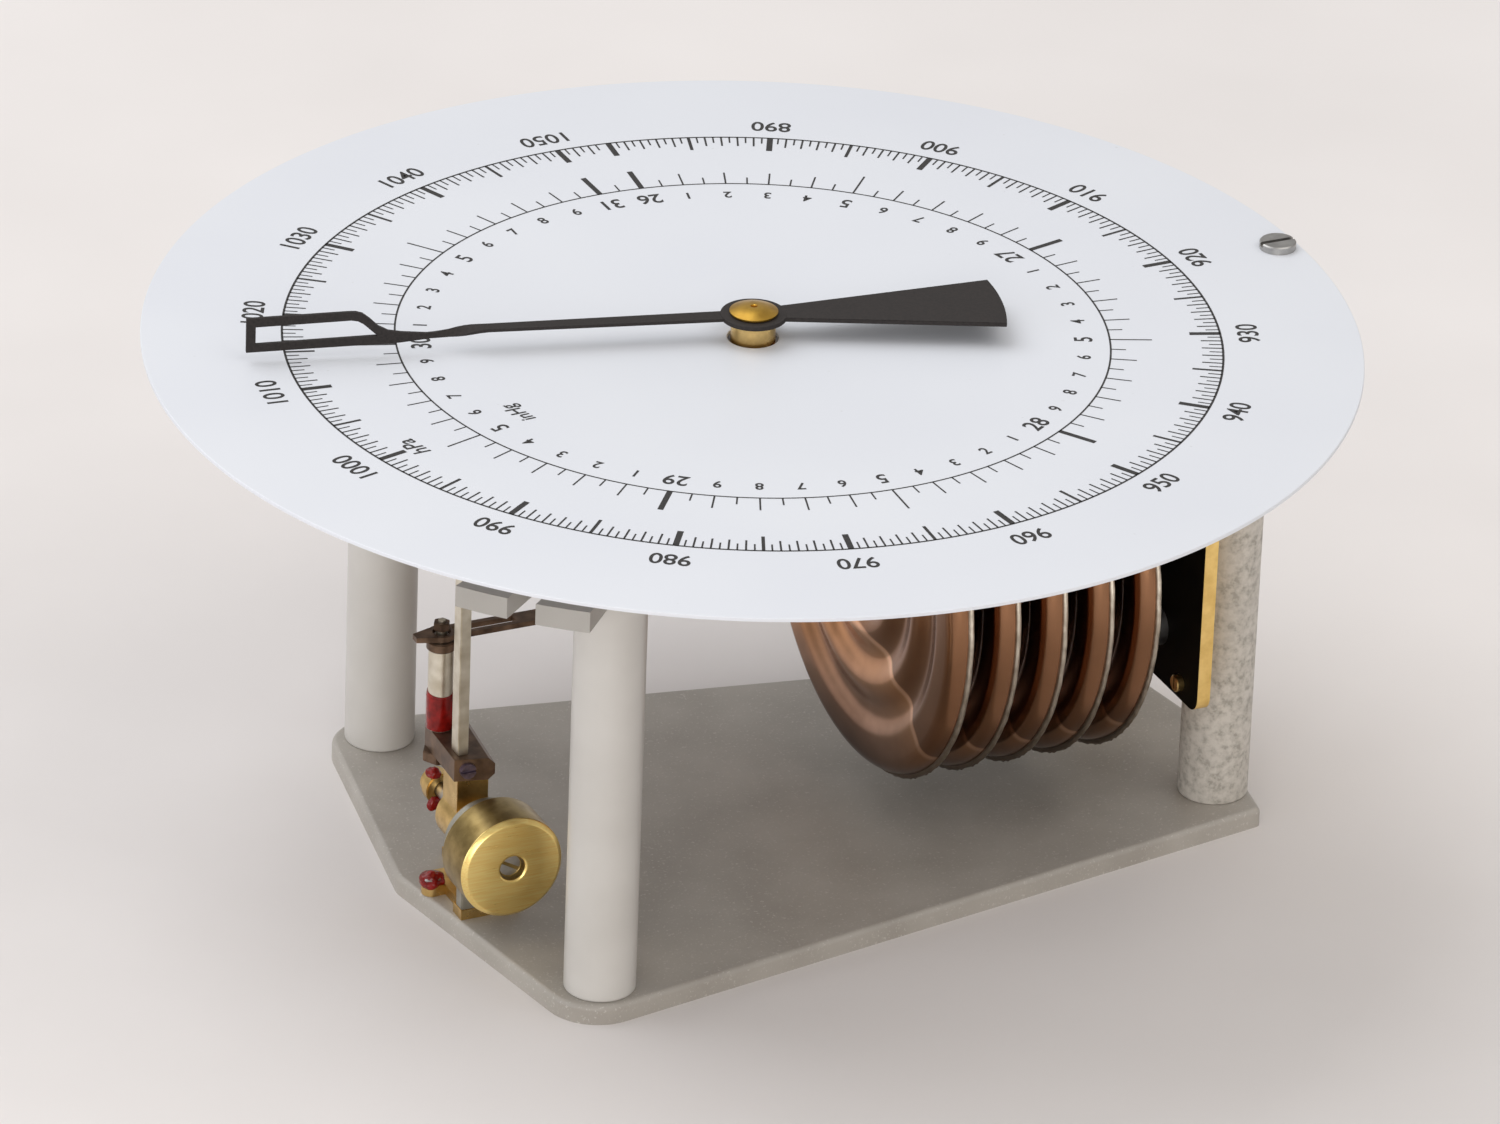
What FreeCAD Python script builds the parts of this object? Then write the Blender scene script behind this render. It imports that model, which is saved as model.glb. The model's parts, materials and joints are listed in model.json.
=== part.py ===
"""Precision aneroid barometer movement with its dial and pointer.

Millimetres, +Z up. The origin is on the underside of the base plate, straight below the
pointer's axis. +X runs along the base plate's symmetry axis, from the rocking shaft to
the capsule bracket, and +Y is to the rear.
"""
import FreeCAD
import Part
import math
import os

os.makedirs("parts", exist_ok=True)
Vec = FreeCAD.Vector
UP = Vec(0, 0, 1)
ALONG_X = Vec(1, 0, 0)
ALONG_Y = Vec(0, 1, 0)

# ---------------------------------------------------------------- driving dimensions
MID_Y = 0.7                  # centreline of the plates and their pillars
BASE_T = 2.2                 # base plate thickness
BASE_LEFT_TIP = -39.6        # apex of the shallow V at the left end
BASE_RIGHT_TIP = 57.7        # apex of the shallow V at the right end
BASE_HALF_Y0 = 29.47         # half width of the plate where X = 0
BASE_TAPER = 0.1775          # half width lost per millimetre of X
BASE_V_SLOPE = 0.17          # how far the ends lean out, per millimetre of Y
BASE_CORNER_R = 5.7
BASE_EDGE_R = 0.6

PILLAR_R = 3.85
PILLAR_LEFT = (-29.0, 29.9)      # X, and distance from the centreline
PILLAR_RIGHT = (51.3, 13.9)
PLATE_Z = 50.0               # underside of the top plate, top of the pillars
PLATE_T = 2.4
PLATE_INSET = 0.3            # top plate outline inside the base plate outline
LUG_R = 53.55                # outer radius of the slotted case lugs at their slot
LUG_FLARE = 0.75             # radius gained from the slot to the lug's left prong
LUG_ANGLE = 140.6
LUG_HALF_ANGLE = 7.95
LUG_SLOT_W = 3.1
LUG_SLOT_R = 47.5            # radius where the lug's open slot ends

DIAL_R = 65.0
DIAL_TOP = 60.0
DIAL_T = 0.4
DIAL_SCREW_X = 62.5

CAPSULE_R = 24.5
CAPSULE_COUNT = 5
CAPSULE_X1 = 15.55           # seam of the free capsule
CAPSULE_PITCH = 5.55
STACK_Z = 31.0
CAPSULE_DEPTH = 2.1          # crest of a diaphragm from its seam
RIM_HALF = 0.3               # half thickness of the soldered rim
RIM_R = 23.9                 # radius where the flat rim starts
WALL = 0.25                  # diaphragm sheet
CORRUGATION_PITCH = 6.1
CORRUGATION_CREST_R = 14.0   # radius of the middle crest
CORRUGATION_AMP = 0.42
SHOULDER_R = 1.8             # round shoulder of the deep diaphragm
SHOULDER_FROM = 22.0         # radius where it starts
SHOULDER_TURN = 78.0         # degrees it turns
BOSS_R = 4.2
BOSS_GAP = 0.2               # play between neighbouring bosses

BRACKET_X = 43.6
BRACKET_T = 1.55
BRACKET_HALF_Y = 23.0
BRACKET_LOW = 17.6
SPACER_R = 2.4               # round spacers between the bracket and its pillars

SHAFT_X = -34.1              # rocking shaft, along Y
SHAFT_Z = 11.2
SHAFT_R = 0.9
RUNNING = 0.05               # radial running clearance of every journal
BAR_Z0 = 17.2
BAR_Z1 = 19.8
POST_X = -35.3
POST_R = 1.35
ROD_X = -35.5
ROD_Y = -6.0
ROD_TOP = 54.6
WEIGHT_R = 5.8
WEIGHT_Y0 = -17.5
WEIGHT_Y1 = -11.6
CHEEK_T = 1.5
FRONT_CHEEK_Y = -11.0
REAR_CHEEK_Y = 1.4
FRONT_CHEEK_R = 4.6
REAR_CHEEK_R = 1.9
FRONT_LEG = (-37.1, -31.1)   # X from, X to
REAR_LEG = (-32.8, -30.2)
FOOT_T = 1.2
STRIP_Z = 30.65
STRIP_T = 0.6
STRIP_HALF_W = 1.2

SECTOR_R = 25.0              # pitch radius
SECTOR_TEETH_PER_TURN = 200
PINION_R = 1.5
PINION_TEETH = 12
SECTOR_X = -(SECTOR_R + PINION_R)
SECTOR_ARM = 5.8             # pivot to link pin
SECTOR_Z = 54.6
SECTOR_T = 0.8
BRIDGE_Z = 57.3
BRIDGE_T = 1.2
LINK_Z = 53.3
LINK_T = 0.5

POINTER_ANGLE = 165.7        # direction of the reading end from +X
POINTER_Z = 62.3
POINTER_T = 0.5
POINTER_TIP = 54.35
POINTER_TWIST = 33.0
BLADE_T = 0.5
BLADE_LOW = 61.1
BLADE_HIGH = 65.05
HUB_R = 3.55
BOSS_TUBE_R = 2.4
CAP_R = 2.6
TAIL_R = 26.9
TAIL_HALF_ANGLE = 11.5


# ---------------------------------------------------------------- helpers
def box(x0, x1, y0, y1, z0, z1):
    return Part.makeBox(x1 - x0, y1 - y0, z1 - z0, Vec(x0, y0, z0))


def rod(x, y, z, r, length, axis=UP):
    return Part.makeCylinder(r, length, Vec(x, y, z), axis)


def prism(points, z0, z1):
    """Upright prism over a closed outline of (x, y) points."""
    corners = [Vec(x, y, z0) for x, y in points]
    face = Part.Face(Part.makePolygon(corners + corners[:1]))
    return face.extrude(Vec(0, 0, z1 - z0))


def polar(r, degrees, cx=0.0, cy=0.0):
    a = math.radians(degrees)
    return (cx + r * math.cos(a), cy + r * math.sin(a))


def turn(shape, degrees, x=0.0, y=0.0):
    copy = shape.copy()
    copy.rotate(Vec(x, y, 0), UP, degrees)
    return copy


def slotted_screw(head_r, head_h, shank_r, shank_len, slot_angle=0.0):
    """Cheese-head screw standing on the XY plane, its shank pointing down."""
    head = Part.makeCylinder(head_r, head_h)
    head = head.makeChamfer(0.15 * head_h, [e for e in head.Edges
                                            if e.BoundBox.ZMin > 0.99 * head_h])
    slot = box(-head_r, head_r, -0.14 * head_r, 0.14 * head_r, 0.5 * head_h, head_h)
    shank = Part.makeCylinder(shank_r, shank_len, Vec(0, 0, -shank_len))
    return turn(head.cut(slot).fuse(shank), slot_angle)


def place(shape, x, y, z, axis=UP):
    """Move a part made at the origin to a seat, with its +Z along the given axis."""
    copy = shape.copy()
    turn_to = FreeCAD.Rotation(UP, axis)
    copy.Placement = FreeCAD.Placement(Vec(x, y, z), turn_to)
    return copy


def hex_prism(across, height):
    r = across / math.sqrt(3)
    return prism([polar(r, 60 * i) for i in range(6)], 0, height)


def export(name, *solids):
    shape = solids[0] if len(solids) == 1 else Part.makeCompound(list(solids))
    shape.exportStep("parts/" + name + ".step")


# ---------------------------------------------------------------- plates and pillars
def plate_outline(inset):
    """Outline mirrored about the centreline: shallow V ends and tapered sides."""
    half_0 = BASE_HALF_Y0 - inset
    left_tip = BASE_LEFT_TIP + inset
    right_tip = BASE_RIGHT_TIP - inset

    def corner(tip, lean):
        y = (half_0 - BASE_TAPER * tip) / (1 + BASE_TAPER * lean)
        return (tip + lean * y, y)

    left = corner(left_tip, BASE_V_SLOPE)
    right = corner(right_tip, -BASE_V_SLOPE)
    return [(left_tip, MID_Y), (left[0], MID_Y - left[1]), (right[0], MID_Y - right[1]),
            (right_tip, MID_Y), (right[0], MID_Y + right[1]), (left[0], MID_Y + left[1])]


def round_upright_edges(solid, radius_at):
    for radius, x_low, x_high in radius_at:
        edges = [e for e in solid.Edges
                 if abs(e.tangentAt(e.FirstParameter).z) > 0.99
                 and x_low < e.BoundBox.XMin < x_high]
        solid = solid.makeFillet(radius, edges)
    return solid


PILLARS = {
    "pillar_front_left": (PILLAR_LEFT[0], MID_Y - PILLAR_LEFT[1]),
    "pillar_rear_left": (PILLAR_LEFT[0], MID_Y + PILLAR_LEFT[1]),
    "pillar_front_right": (PILLAR_RIGHT[0], MID_Y - PILLAR_RIGHT[1]),
    "pillar_rear_right": (PILLAR_RIGHT[0], MID_Y + PILLAR_RIGHT[1]),
}
PILLAR_SCREW_R = 1.45
PILLAR_SCREW_DEPTH = 7.0
COUNTERSINK_R = 3.0
COUNTERSINK_H = 1.6
BRACKET_SCREW_R = 1.2
BRACKET_SCREW_ZS = (24.0, 39.0)
BRACKET_SCREW_REACH = 50.5   # X where the bracket screws end inside the pillars
FOOT_SCREWS = ((-37.6, -4.1), (-31.5, -0.6))
FOOT_SCREW_R = 0.7
FOOT_HEAD_R = 1.1


def countersunk(x, y):
    """Countersunk screw entering the base plate from below."""
    cone = Part.makeCone(COUNTERSINK_R, PILLAR_SCREW_R, COUNTERSINK_H, Vec(x, y, 0))
    return cone.fuse(rod(x, y, 0, PILLAR_SCREW_R, BASE_T + PILLAR_SCREW_DEPTH))


def base_plate():
    plate = prism(plate_outline(0), 0, BASE_T)
    plate = round_upright_edges(plate, [(BASE_CORNER_R, -36, -30), (4.0, -42, -39),
                                        (0.8, 50, 56)])
    top_rim = [e for e in plate.Edges if e.BoundBox.ZMin > BASE_T - 0.01]
    plate = plate.makeFillet(BASE_EDGE_R, top_rim)
    for x, y in PILLARS.values():
        plate = plate.cut(countersunk(x, y))
    for x, y in FOOT_SCREWS:
        plate = plate.cut(rod(x, y, 0.8, FOOT_SCREW_R, BASE_T))
    export("base_plate", plate)


def base_screws():
    slot_w = 0.8
    screws = []
    for x, y in PILLARS.values():
        slot = box(x - COUNTERSINK_R, x + COUNTERSINK_R, y - slot_w / 2, y + slot_w / 2, 0, 0.9)
        screws.append(countersunk(x, y).cut(slot))
    export("base_screws", *screws)


def pillars():
    for name, (x, y) in PILLARS.items():
        pillar = rod(x, y, BASE_T, PILLAR_R, PLATE_Z - BASE_T)
        rims = [e for e in pillar.Edges if e.BoundBox.ZLength < 0.01]
        pillar = pillar.makeChamfer(0.2, rims)
        for z in (BASE_T, PLATE_Z - PILLAR_SCREW_DEPTH):
            pillar = pillar.cut(rod(x, y, z, PILLAR_SCREW_R, PILLAR_SCREW_DEPTH))
        if x > 0:
            for z in BRACKET_SCREW_ZS:
                pillar = pillar.cut(rod(BRACKET_X, y, z, BRACKET_SCREW_R,
                                        BRACKET_SCREW_REACH - BRACKET_X, ALONG_X))
        export(name, pillar)


DIAL_POSTS = ((DIAL_SCREW_X, 0), (-20.0, -26.0), (-20.0, 26.0))
DIAL_POST_R = 2.0
DIAL_FOOT_R = 0.9
BRIDGE_POSTS = ((-13.0, -9.5), (-13.0, 9.5))
BRIDGE_POST_R = 1.8
BRIDGE_SCREW_R = 0.8
BUSH_R = 2.0
CUTOUT = (10.6, 42.3, 18.2)  # X from, X to, half width of the opening for the capsules


def case_lug(mid_angle):
    """Lug that follows the dial's curve, with a slot open to the outside."""
    outward = math.copysign(1, mid_angle)
    arc = [polar(LUG_R + LUG_FLARE * outward * t / 6, mid_angle + LUG_HALF_ANGLE * t / 6)
           for t in range(-6, 7)]
    root = [polar(38.0, mid_angle + LUG_HALF_ANGLE), polar(38.0, mid_angle - LUG_HALF_ANGLE)]
    lug = prism(arc + root, PLATE_Z, PLATE_Z + PLATE_T)
    slot = box(LUG_SLOT_R, LUG_R + 1, -LUG_SLOT_W / 2, LUG_SLOT_W / 2, PLATE_Z, PLATE_Z + PLATE_T)
    slot = slot.fuse(rod(LUG_SLOT_R, 0, PLATE_Z, LUG_SLOT_W / 2, PLATE_T))
    return lug, turn(slot, mid_angle)


def top_plate():
    z0 = PLATE_Z
    z1 = PLATE_Z + PLATE_T
    plate = prism(plate_outline(PLATE_INSET), z0, z1)
    plate = round_upright_edges(plate, [(4.6, -36, -28), (3.0, 48, 56)])
    tongue = prism([(50, -5), (60, -2.3), (60, 2.3), (50, 5)], z0, z1)
    tongue = tongue.fuse(box(59, DIAL_SCREW_X, -2.25, 2.25, z0, z1))
    plate = plate.fuse([tongue, rod(DIAL_SCREW_X, 0, z0, 2.25, PLATE_T)])
    slots = []
    for side in (-1, 1):
        lug, slot = case_lug(side * LUG_ANGLE)
        plate = plate.fuse(lug)
        slots.append(slot)
    opening = box(CUTOUT[0], CUTOUT[1], -CUTOUT[2], CUTOUT[2], z0, z1)
    opening = round_upright_edges(opening, [(3.0, 0, 60)])
    notch = box(BASE_LEFT_TIP, ROD_X + 1.8, ROD_Y - 1.6, ROD_Y + 1.6, z0, z1)
    holes = [rod(x, y, z0, PILLAR_SCREW_R, PLATE_T) for x, y in PILLARS.values()]
    holes += [rod(x, 0, z0, BUSH_R, PLATE_T) for x in (0, SECTOR_X)]
    for x, y in DIAL_POSTS + BRIDGE_POSTS:
        holes.append(rod(x, y, z0, DIAL_FOOT_R, PLATE_T))
    plate = plate.cut([opening, notch] + holes + slots)
    export("top_plate", plate.removeSplitter())


def top_screws():
    screw = slotted_screw(2.7, 1.7, PILLAR_SCREW_R, PLATE_T + PILLAR_SCREW_DEPTH, 30)
    export("top_screws", *[place(screw, x, y, PLATE_Z + PLATE_T) for x, y in PILLARS.values()])


# ---------------------------------------------------------------- dial and its supports
def dial():
    disc = rod(0, 0, DIAL_TOP - DIAL_T, DIAL_R, DIAL_T)
    rims = [e for e in disc.Edges if e.BoundBox.ZLength < 0.01]
    disc = disc.makeChamfer(0.08, rims)
    disc = disc.cut(rod(0, 0, DIAL_TOP - DIAL_T, BOSS_TUBE_R + 0.35, DIAL_T))
    disc = disc.cut(rod(DIAL_SCREW_X, 0, DIAL_TOP - DIAL_T, DIAL_FOOT_R, DIAL_T))
    export("dial", disc)


def dial_posts():
    top = DIAL_TOP - DIAL_T
    seat = PLATE_Z + PLATE_T
    posts = []
    for x, y in DIAL_POSTS:
        post = rod(x, y, seat, DIAL_POST_R, top - seat)
        spigot = rod(x, y, PLATE_Z, DIAL_FOOT_R, PLATE_T)
        bore = rod(x, y, seat + 1.5, DIAL_FOOT_R, top - seat)
        posts.append(post.fuse(spigot).cut(bore))
    export("dial_posts", *posts)
    feet = [rod(x, y, seat + 2.5, DIAL_FOOT_R, top - seat - 2.5) for x, y in DIAL_POSTS[1:]]
    export("dial_feet", *feet)


def dial_screw():
    screw = slotted_screw(2.0, 0.85, DIAL_FOOT_R, 5.0, 35)
    export("dial_screw", place(screw, DIAL_SCREW_X, 0, DIAL_TOP))


# ---------------------------------------------------------------- capsule stack
CREST_R = CORRUGATION_CREST_R + CORRUGATION_PITCH   # outermost crest


def corrugation_depth(r):
    """Depth of the corrugated part of a diaphragm, measured from the seam."""
    swing = math.cos(2 * math.pi * (r - CORRUGATION_CREST_R) / CORRUGATION_PITCH)
    return CAPSULE_DEPTH - CORRUGATION_AMP * (1 - swing)


def shallow_shoulder(r):
    """Depth of the right diaphragm between its last crest and the rim."""
    t = (r - CREST_R) / (RIM_R - CREST_R)
    return RIM_HALF + (CAPSULE_DEPTH - RIM_HALF) * (1 - t * t * (3 - 2 * t))


def capsule(seam_x):
    """Two corrugated diaphragms soldered at the rim, closed round an empty space.

    The left one is drawn deep, with a round shoulder. The right one falls gently to the rim.
    """
    radii = [BOSS_R + (CREST_R - BOSS_R) * i / 30 for i in range(31)]

    def curve(depths, side):
        wave = Part.BSplineCurve()
        wave.interpolate([Vec(side * depth, 0, r) for r, depth in depths])
        return wave.toShape()

    def left_skin(inward):
        """Outer or inner surface of the deep diaphragm, from the axis out to the rim."""
        depths = [(r, corrugation_depth(r) - inward) for r in radii]
        middle = Vec(-depths[0][1], 0, 0)
        crest = Vec(-(CAPSULE_DEPTH - inward), 0, CREST_R)
        start = Vec(crest.x, 0, SHOULDER_FROM)
        radius = SHOULDER_R - inward

        def on_arc(degrees):
            a = math.radians(degrees)
            return Vec(-(CAPSULE_DEPTH - SHOULDER_R + radius * math.cos(a)), 0,
                       SHOULDER_FROM + radius * math.sin(a))

        end = on_arc(SHOULDER_TURN)
        edges = [Part.makeLine(middle, Vec(-depths[0][1], 0, BOSS_R)), curve(depths, -1),
                 Part.makeLine(crest, start),
                 Part.Arc(start, on_arc(SHOULDER_TURN / 2), end).toShape()]
        return edges, middle, end

    def right_skin(inward):
        depths = [(r, corrugation_depth(r) - inward) for r in radii]
        for i in range(1, 11):
            r = CREST_R + (RIM_R - CREST_R) * i / 10
            depths.append((r, shallow_shoulder(r) - inward))
        middle = Vec(depths[0][1], 0, 0)
        edges = [Part.makeLine(middle, Vec(depths[0][1], 0, BOSS_R)), curve(depths, 1)]
        return edges, middle, Vec(depths[-1][1], 0, RIM_R)

    left_out, left_middle, left_end = left_skin(0)
    right_out, right_middle, right_end = right_skin(0)
    rim = [left_end, Vec(-RIM_HALF, 0, RIM_R), Vec(-RIM_HALF, 0, CAPSULE_R),
           Vec(RIM_HALF, 0, CAPSULE_R), right_end]
    rim_edges = [Part.makeLine(p, q) for p, q in zip(rim, rim[1:])]
    outer = Part.Wire(Part.__sortEdges__(left_out + rim_edges + right_out
                                         + [Part.makeLine(left_middle, right_middle)]))
    left_in, left_core, left_lip = left_skin(WALL)
    right_in, right_core, right_lip = right_skin(WALL)
    inner = Part.Wire(Part.__sortEdges__(left_in + right_in
                                         + [Part.makeLine(left_core, right_core),
                                            Part.makeLine(left_lip, right_lip)]))
    body = Part.Face(outer).revolve(Vec(0, 0, 0), ALONG_X, 360)
    hollow = Part.Face(inner).revolve(Vec(0, 0, 0), ALONG_X, 360)
    flat = corrugation_depth(BOSS_R)
    boss_h = CAPSULE_PITCH / 2 - BOSS_GAP / 2 - flat
    shell = body.cut(hollow)
    for side in (-1, 1):
        shell = shell.fuse(rod(side * (flat - 0.1), 0, 0, BOSS_R - 0.6, boss_h + 0.1,
                               ALONG_X * side))
    shell.translate(Vec(seam_x, 0, STACK_Z))
    return shell.removeSplitter()


def capsules():
    first = capsule(0.0)
    for k in range(CAPSULE_COUNT):
        copy = first.copy()
        copy.translate(Vec(CAPSULE_X1 + k * CAPSULE_PITCH, 0, 0))
        export("capsule_%d" % (k + 1), copy)


STACK_LEFT = CAPSULE_X1 - CAPSULE_PITCH / 2 - BOSS_GAP / 2
STACK_RIGHT = CAPSULE_X1 + (CAPSULE_COUNT - 0.5) * CAPSULE_PITCH + BOSS_GAP / 2
NOSE_X = 7.4
STUD_R = 1.5


def stack_ends():
    """Boss and draw strip at the free end, adjusting stud and nuts at the bracket."""
    boss = rod(STACK_LEFT - 1.0, 0, STACK_Z, BOSS_R - 0.6, 1.0, ALONG_X)
    nose = rod(NOSE_X, 0, STACK_Z, 2.5, STACK_LEFT - 1.0 - NOSE_X, ALONG_X)
    slit = box(NOSE_X, STACK_LEFT - 1.5, -2.6, 2.6, STRIP_Z, STRIP_Z + STRIP_T)
    pin_x = NOSE_X + 1.6
    pin = rod(pin_x, 0, STACK_Z - 2.6, 0.6, 5.2)
    export("stack_boss", boss.fuse(nose).cut([slit, pin]))
    strip_end = STACK_LEFT - 1.5
    tip = [(-38.4, -0.55), (-36.4, -STRIP_HALF_W), (strip_end, -STRIP_HALF_W),
           (strip_end, STRIP_HALF_W), (-36.4, STRIP_HALF_W), (-38.4, 0.55)]
    strip = prism(tip, STRIP_Z, STRIP_Z + STRIP_T).fuse(rod(POST_X, 0, STRIP_Z, 1.5, STRIP_T))
    window = box(-33.9, -26.9, -0.55, 0.55, STRIP_Z, STRIP_Z + STRIP_T)
    eye = rod(POST_X, 0, STRIP_Z, 1.0, STRIP_T)
    export("draw_strip", strip.cut([window, eye, pin]))
    export("strip_pin", pin)
    flange = rod(STACK_RIGHT, 0, STACK_Z, BOSS_R - 0.6, 1.1, ALONG_X)
    stud = rod(STACK_RIGHT, 0, STACK_Z, STUD_R, 9.0, ALONG_X)
    slot = box(STACK_RIGHT + 8.2, STACK_RIGHT + 9.0, -STUD_R, STUD_R,
               STACK_Z - 0.25, STACK_Z + 0.25)
    export("stack_stud", flange.fuse(stud).cut(slot))
    nuts = []
    for x, h in ((BRACKET_X - 1.8, 1.8), (BRACKET_X + BRACKET_T, 2.0)):
        nut = place(hex_prism(5.5, h), x, 0, STACK_Z, ALONG_X)
        nuts.append(nut.cut(rod(x, 0, STACK_Z, STUD_R, h, ALONG_X)))
    export("stack_nuts", *nuts)


def capsule_bracket():
    x0 = BRACKET_X
    plate = box(x0, x0 + BRACKET_T, -BRACKET_HALF_Y, BRACKET_HALF_Y, BRACKET_LOW, PLATE_Z)
    lower = [e for e in plate.Edges if e.BoundBox.XLength > BRACKET_T - 0.01
             and e.BoundBox.ZMax < BRACKET_LOW + 0.01]
    plate = plate.makeFillet(1.8, lower)
    cuts = [rod(x0, 0, STACK_Z, STUD_R, BRACKET_T, ALONG_X)]
    screw = slotted_screw(2.3, 1.3, BRACKET_SCREW_R, BRACKET_SCREW_REACH - x0)
    corner_screw = slotted_screw(0.95, 0.8, 0.5, BRACKET_T)
    screws = []
    corners = []
    spacers = []
    for side in (-1, 1):
        y = MID_Y + side * PILLAR_RIGHT[1]
        post = rod(PILLAR_RIGHT[0], y, 0, PILLAR_R, PLATE_Z)
        to_post = PILLAR_RIGHT[0] - x0
        for z in BRACKET_SCREW_ZS:
            spacer = rod(x0 + BRACKET_T, y, z, SPACER_R, to_post - BRACKET_T, ALONG_X)
            bore = rod(x0, y, z, BRACKET_SCREW_R, to_post, ALONG_X)
            spacers.append(spacer.cut([post, bore]))
            cuts.append(rod(x0, y, z, BRACKET_SCREW_R, BRACKET_T, ALONG_X))
            screws.append(place(screw, x0, y, z, ALONG_X * -1))
        y = side * 18.9
        cuts.append(rod(x0, y, 19.6, 0.5, BRACKET_T, ALONG_X))
        corners.append(place(corner_screw, x0, y, 19.6, ALONG_X * -1))
    export("capsule_bracket", plate.cut(cuts).fuse(spacers).removeSplitter())
    export("bracket_screws", *screws)
    export("bracket_corner_screws", *corners)


# ---------------------------------------------------------------- rocking shaft and what it carries
FOOT_TOP = BASE_T + FOOT_T


def cheek(y0, r, leg):
    """Plate with a bearing bore, standing on a leg that may lie to one side of it."""
    disc = rod(SHAFT_X, y0, SHAFT_Z, r, CHEEK_T, ALONG_Y)
    column = box(leg[0], leg[1], y0, y0 + CHEEK_T, FOOT_TOP, SHAFT_Z)
    head = box(min(leg[0], SHAFT_X), leg[1], y0, y0 + CHEEK_T, SHAFT_Z - 0.7 * r, SHAFT_Z)
    bore = rod(SHAFT_X, y0, SHAFT_Z, SHAFT_R + RUNNING, CHEEK_T, ALONG_Y)
    return disc.fuse([column, head]).cut(bore).removeSplitter()


def bearing_frame():
    front_y = FRONT_CHEEK_Y
    foot = box(FRONT_LEG[0], FRONT_LEG[1], front_y, front_y + 2.2, BASE_T, FOOT_TOP)
    block = box(-36.4, REAR_LEG[0], front_y, -1.5, BASE_T, FOOT_TOP)
    heel = box(REAR_LEG[0] - 0.6, REAR_LEG[1], front_y, REAR_CHEEK_Y + CHEEK_T, BASE_T, FOOT_TOP)
    tab = rod(FOOT_SCREWS[0][0], FOOT_SCREWS[0][1], BASE_T, FOOT_HEAD_R, FOOT_T)
    neck = box(FOOT_SCREWS[0][0], -36.4, FOOT_SCREWS[0][1] - 1, FOOT_SCREWS[0][1] + 1,
               BASE_T, FOOT_TOP)
    cuts = [rod(x, y, BASE_T, FOOT_SCREW_R, FOOT_T) for x, y in FOOT_SCREWS]
    export("bearing_foot", foot.fuse([block, heel, tab, neck]).cut(cuts).removeSplitter())
    export("front_cheek", cheek(front_y, FRONT_CHEEK_R, FRONT_LEG))
    export("rear_cheek", cheek(REAR_CHEEK_Y, REAR_CHEEK_R, REAR_LEG))
    screw = slotted_screw(FOOT_HEAD_R, 0.8, FOOT_SCREW_R, FOOT_T + BASE_T - 0.8, 20)
    export("foot_screws", *[place(screw, x, y, FOOT_TOP) for x, y in FOOT_SCREWS])


def lacquer_blob(x, y, z, r, squash):
    """Flattened drop of sealing lacquer, cut flat where it sits."""
    ball = Part.makeSphere(r, Vec(0, 0, 0), UP, 0, 90, 360)
    drop = ball.transformGeometry(FreeCAD.Matrix(1, 0, 0, 0, 0, 1, 0, 0, 0, 0, squash, 0))
    drop.translate(Vec(x, y, z))
    return drop


def lacquer_seals():
    drops = []
    for x, y in FOOT_SCREWS:
        drops.append(lacquer_blob(x, y, FOOT_TOP + 0.8, 1.15, 0.8))
    export("foot_seals", *drops)


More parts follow.
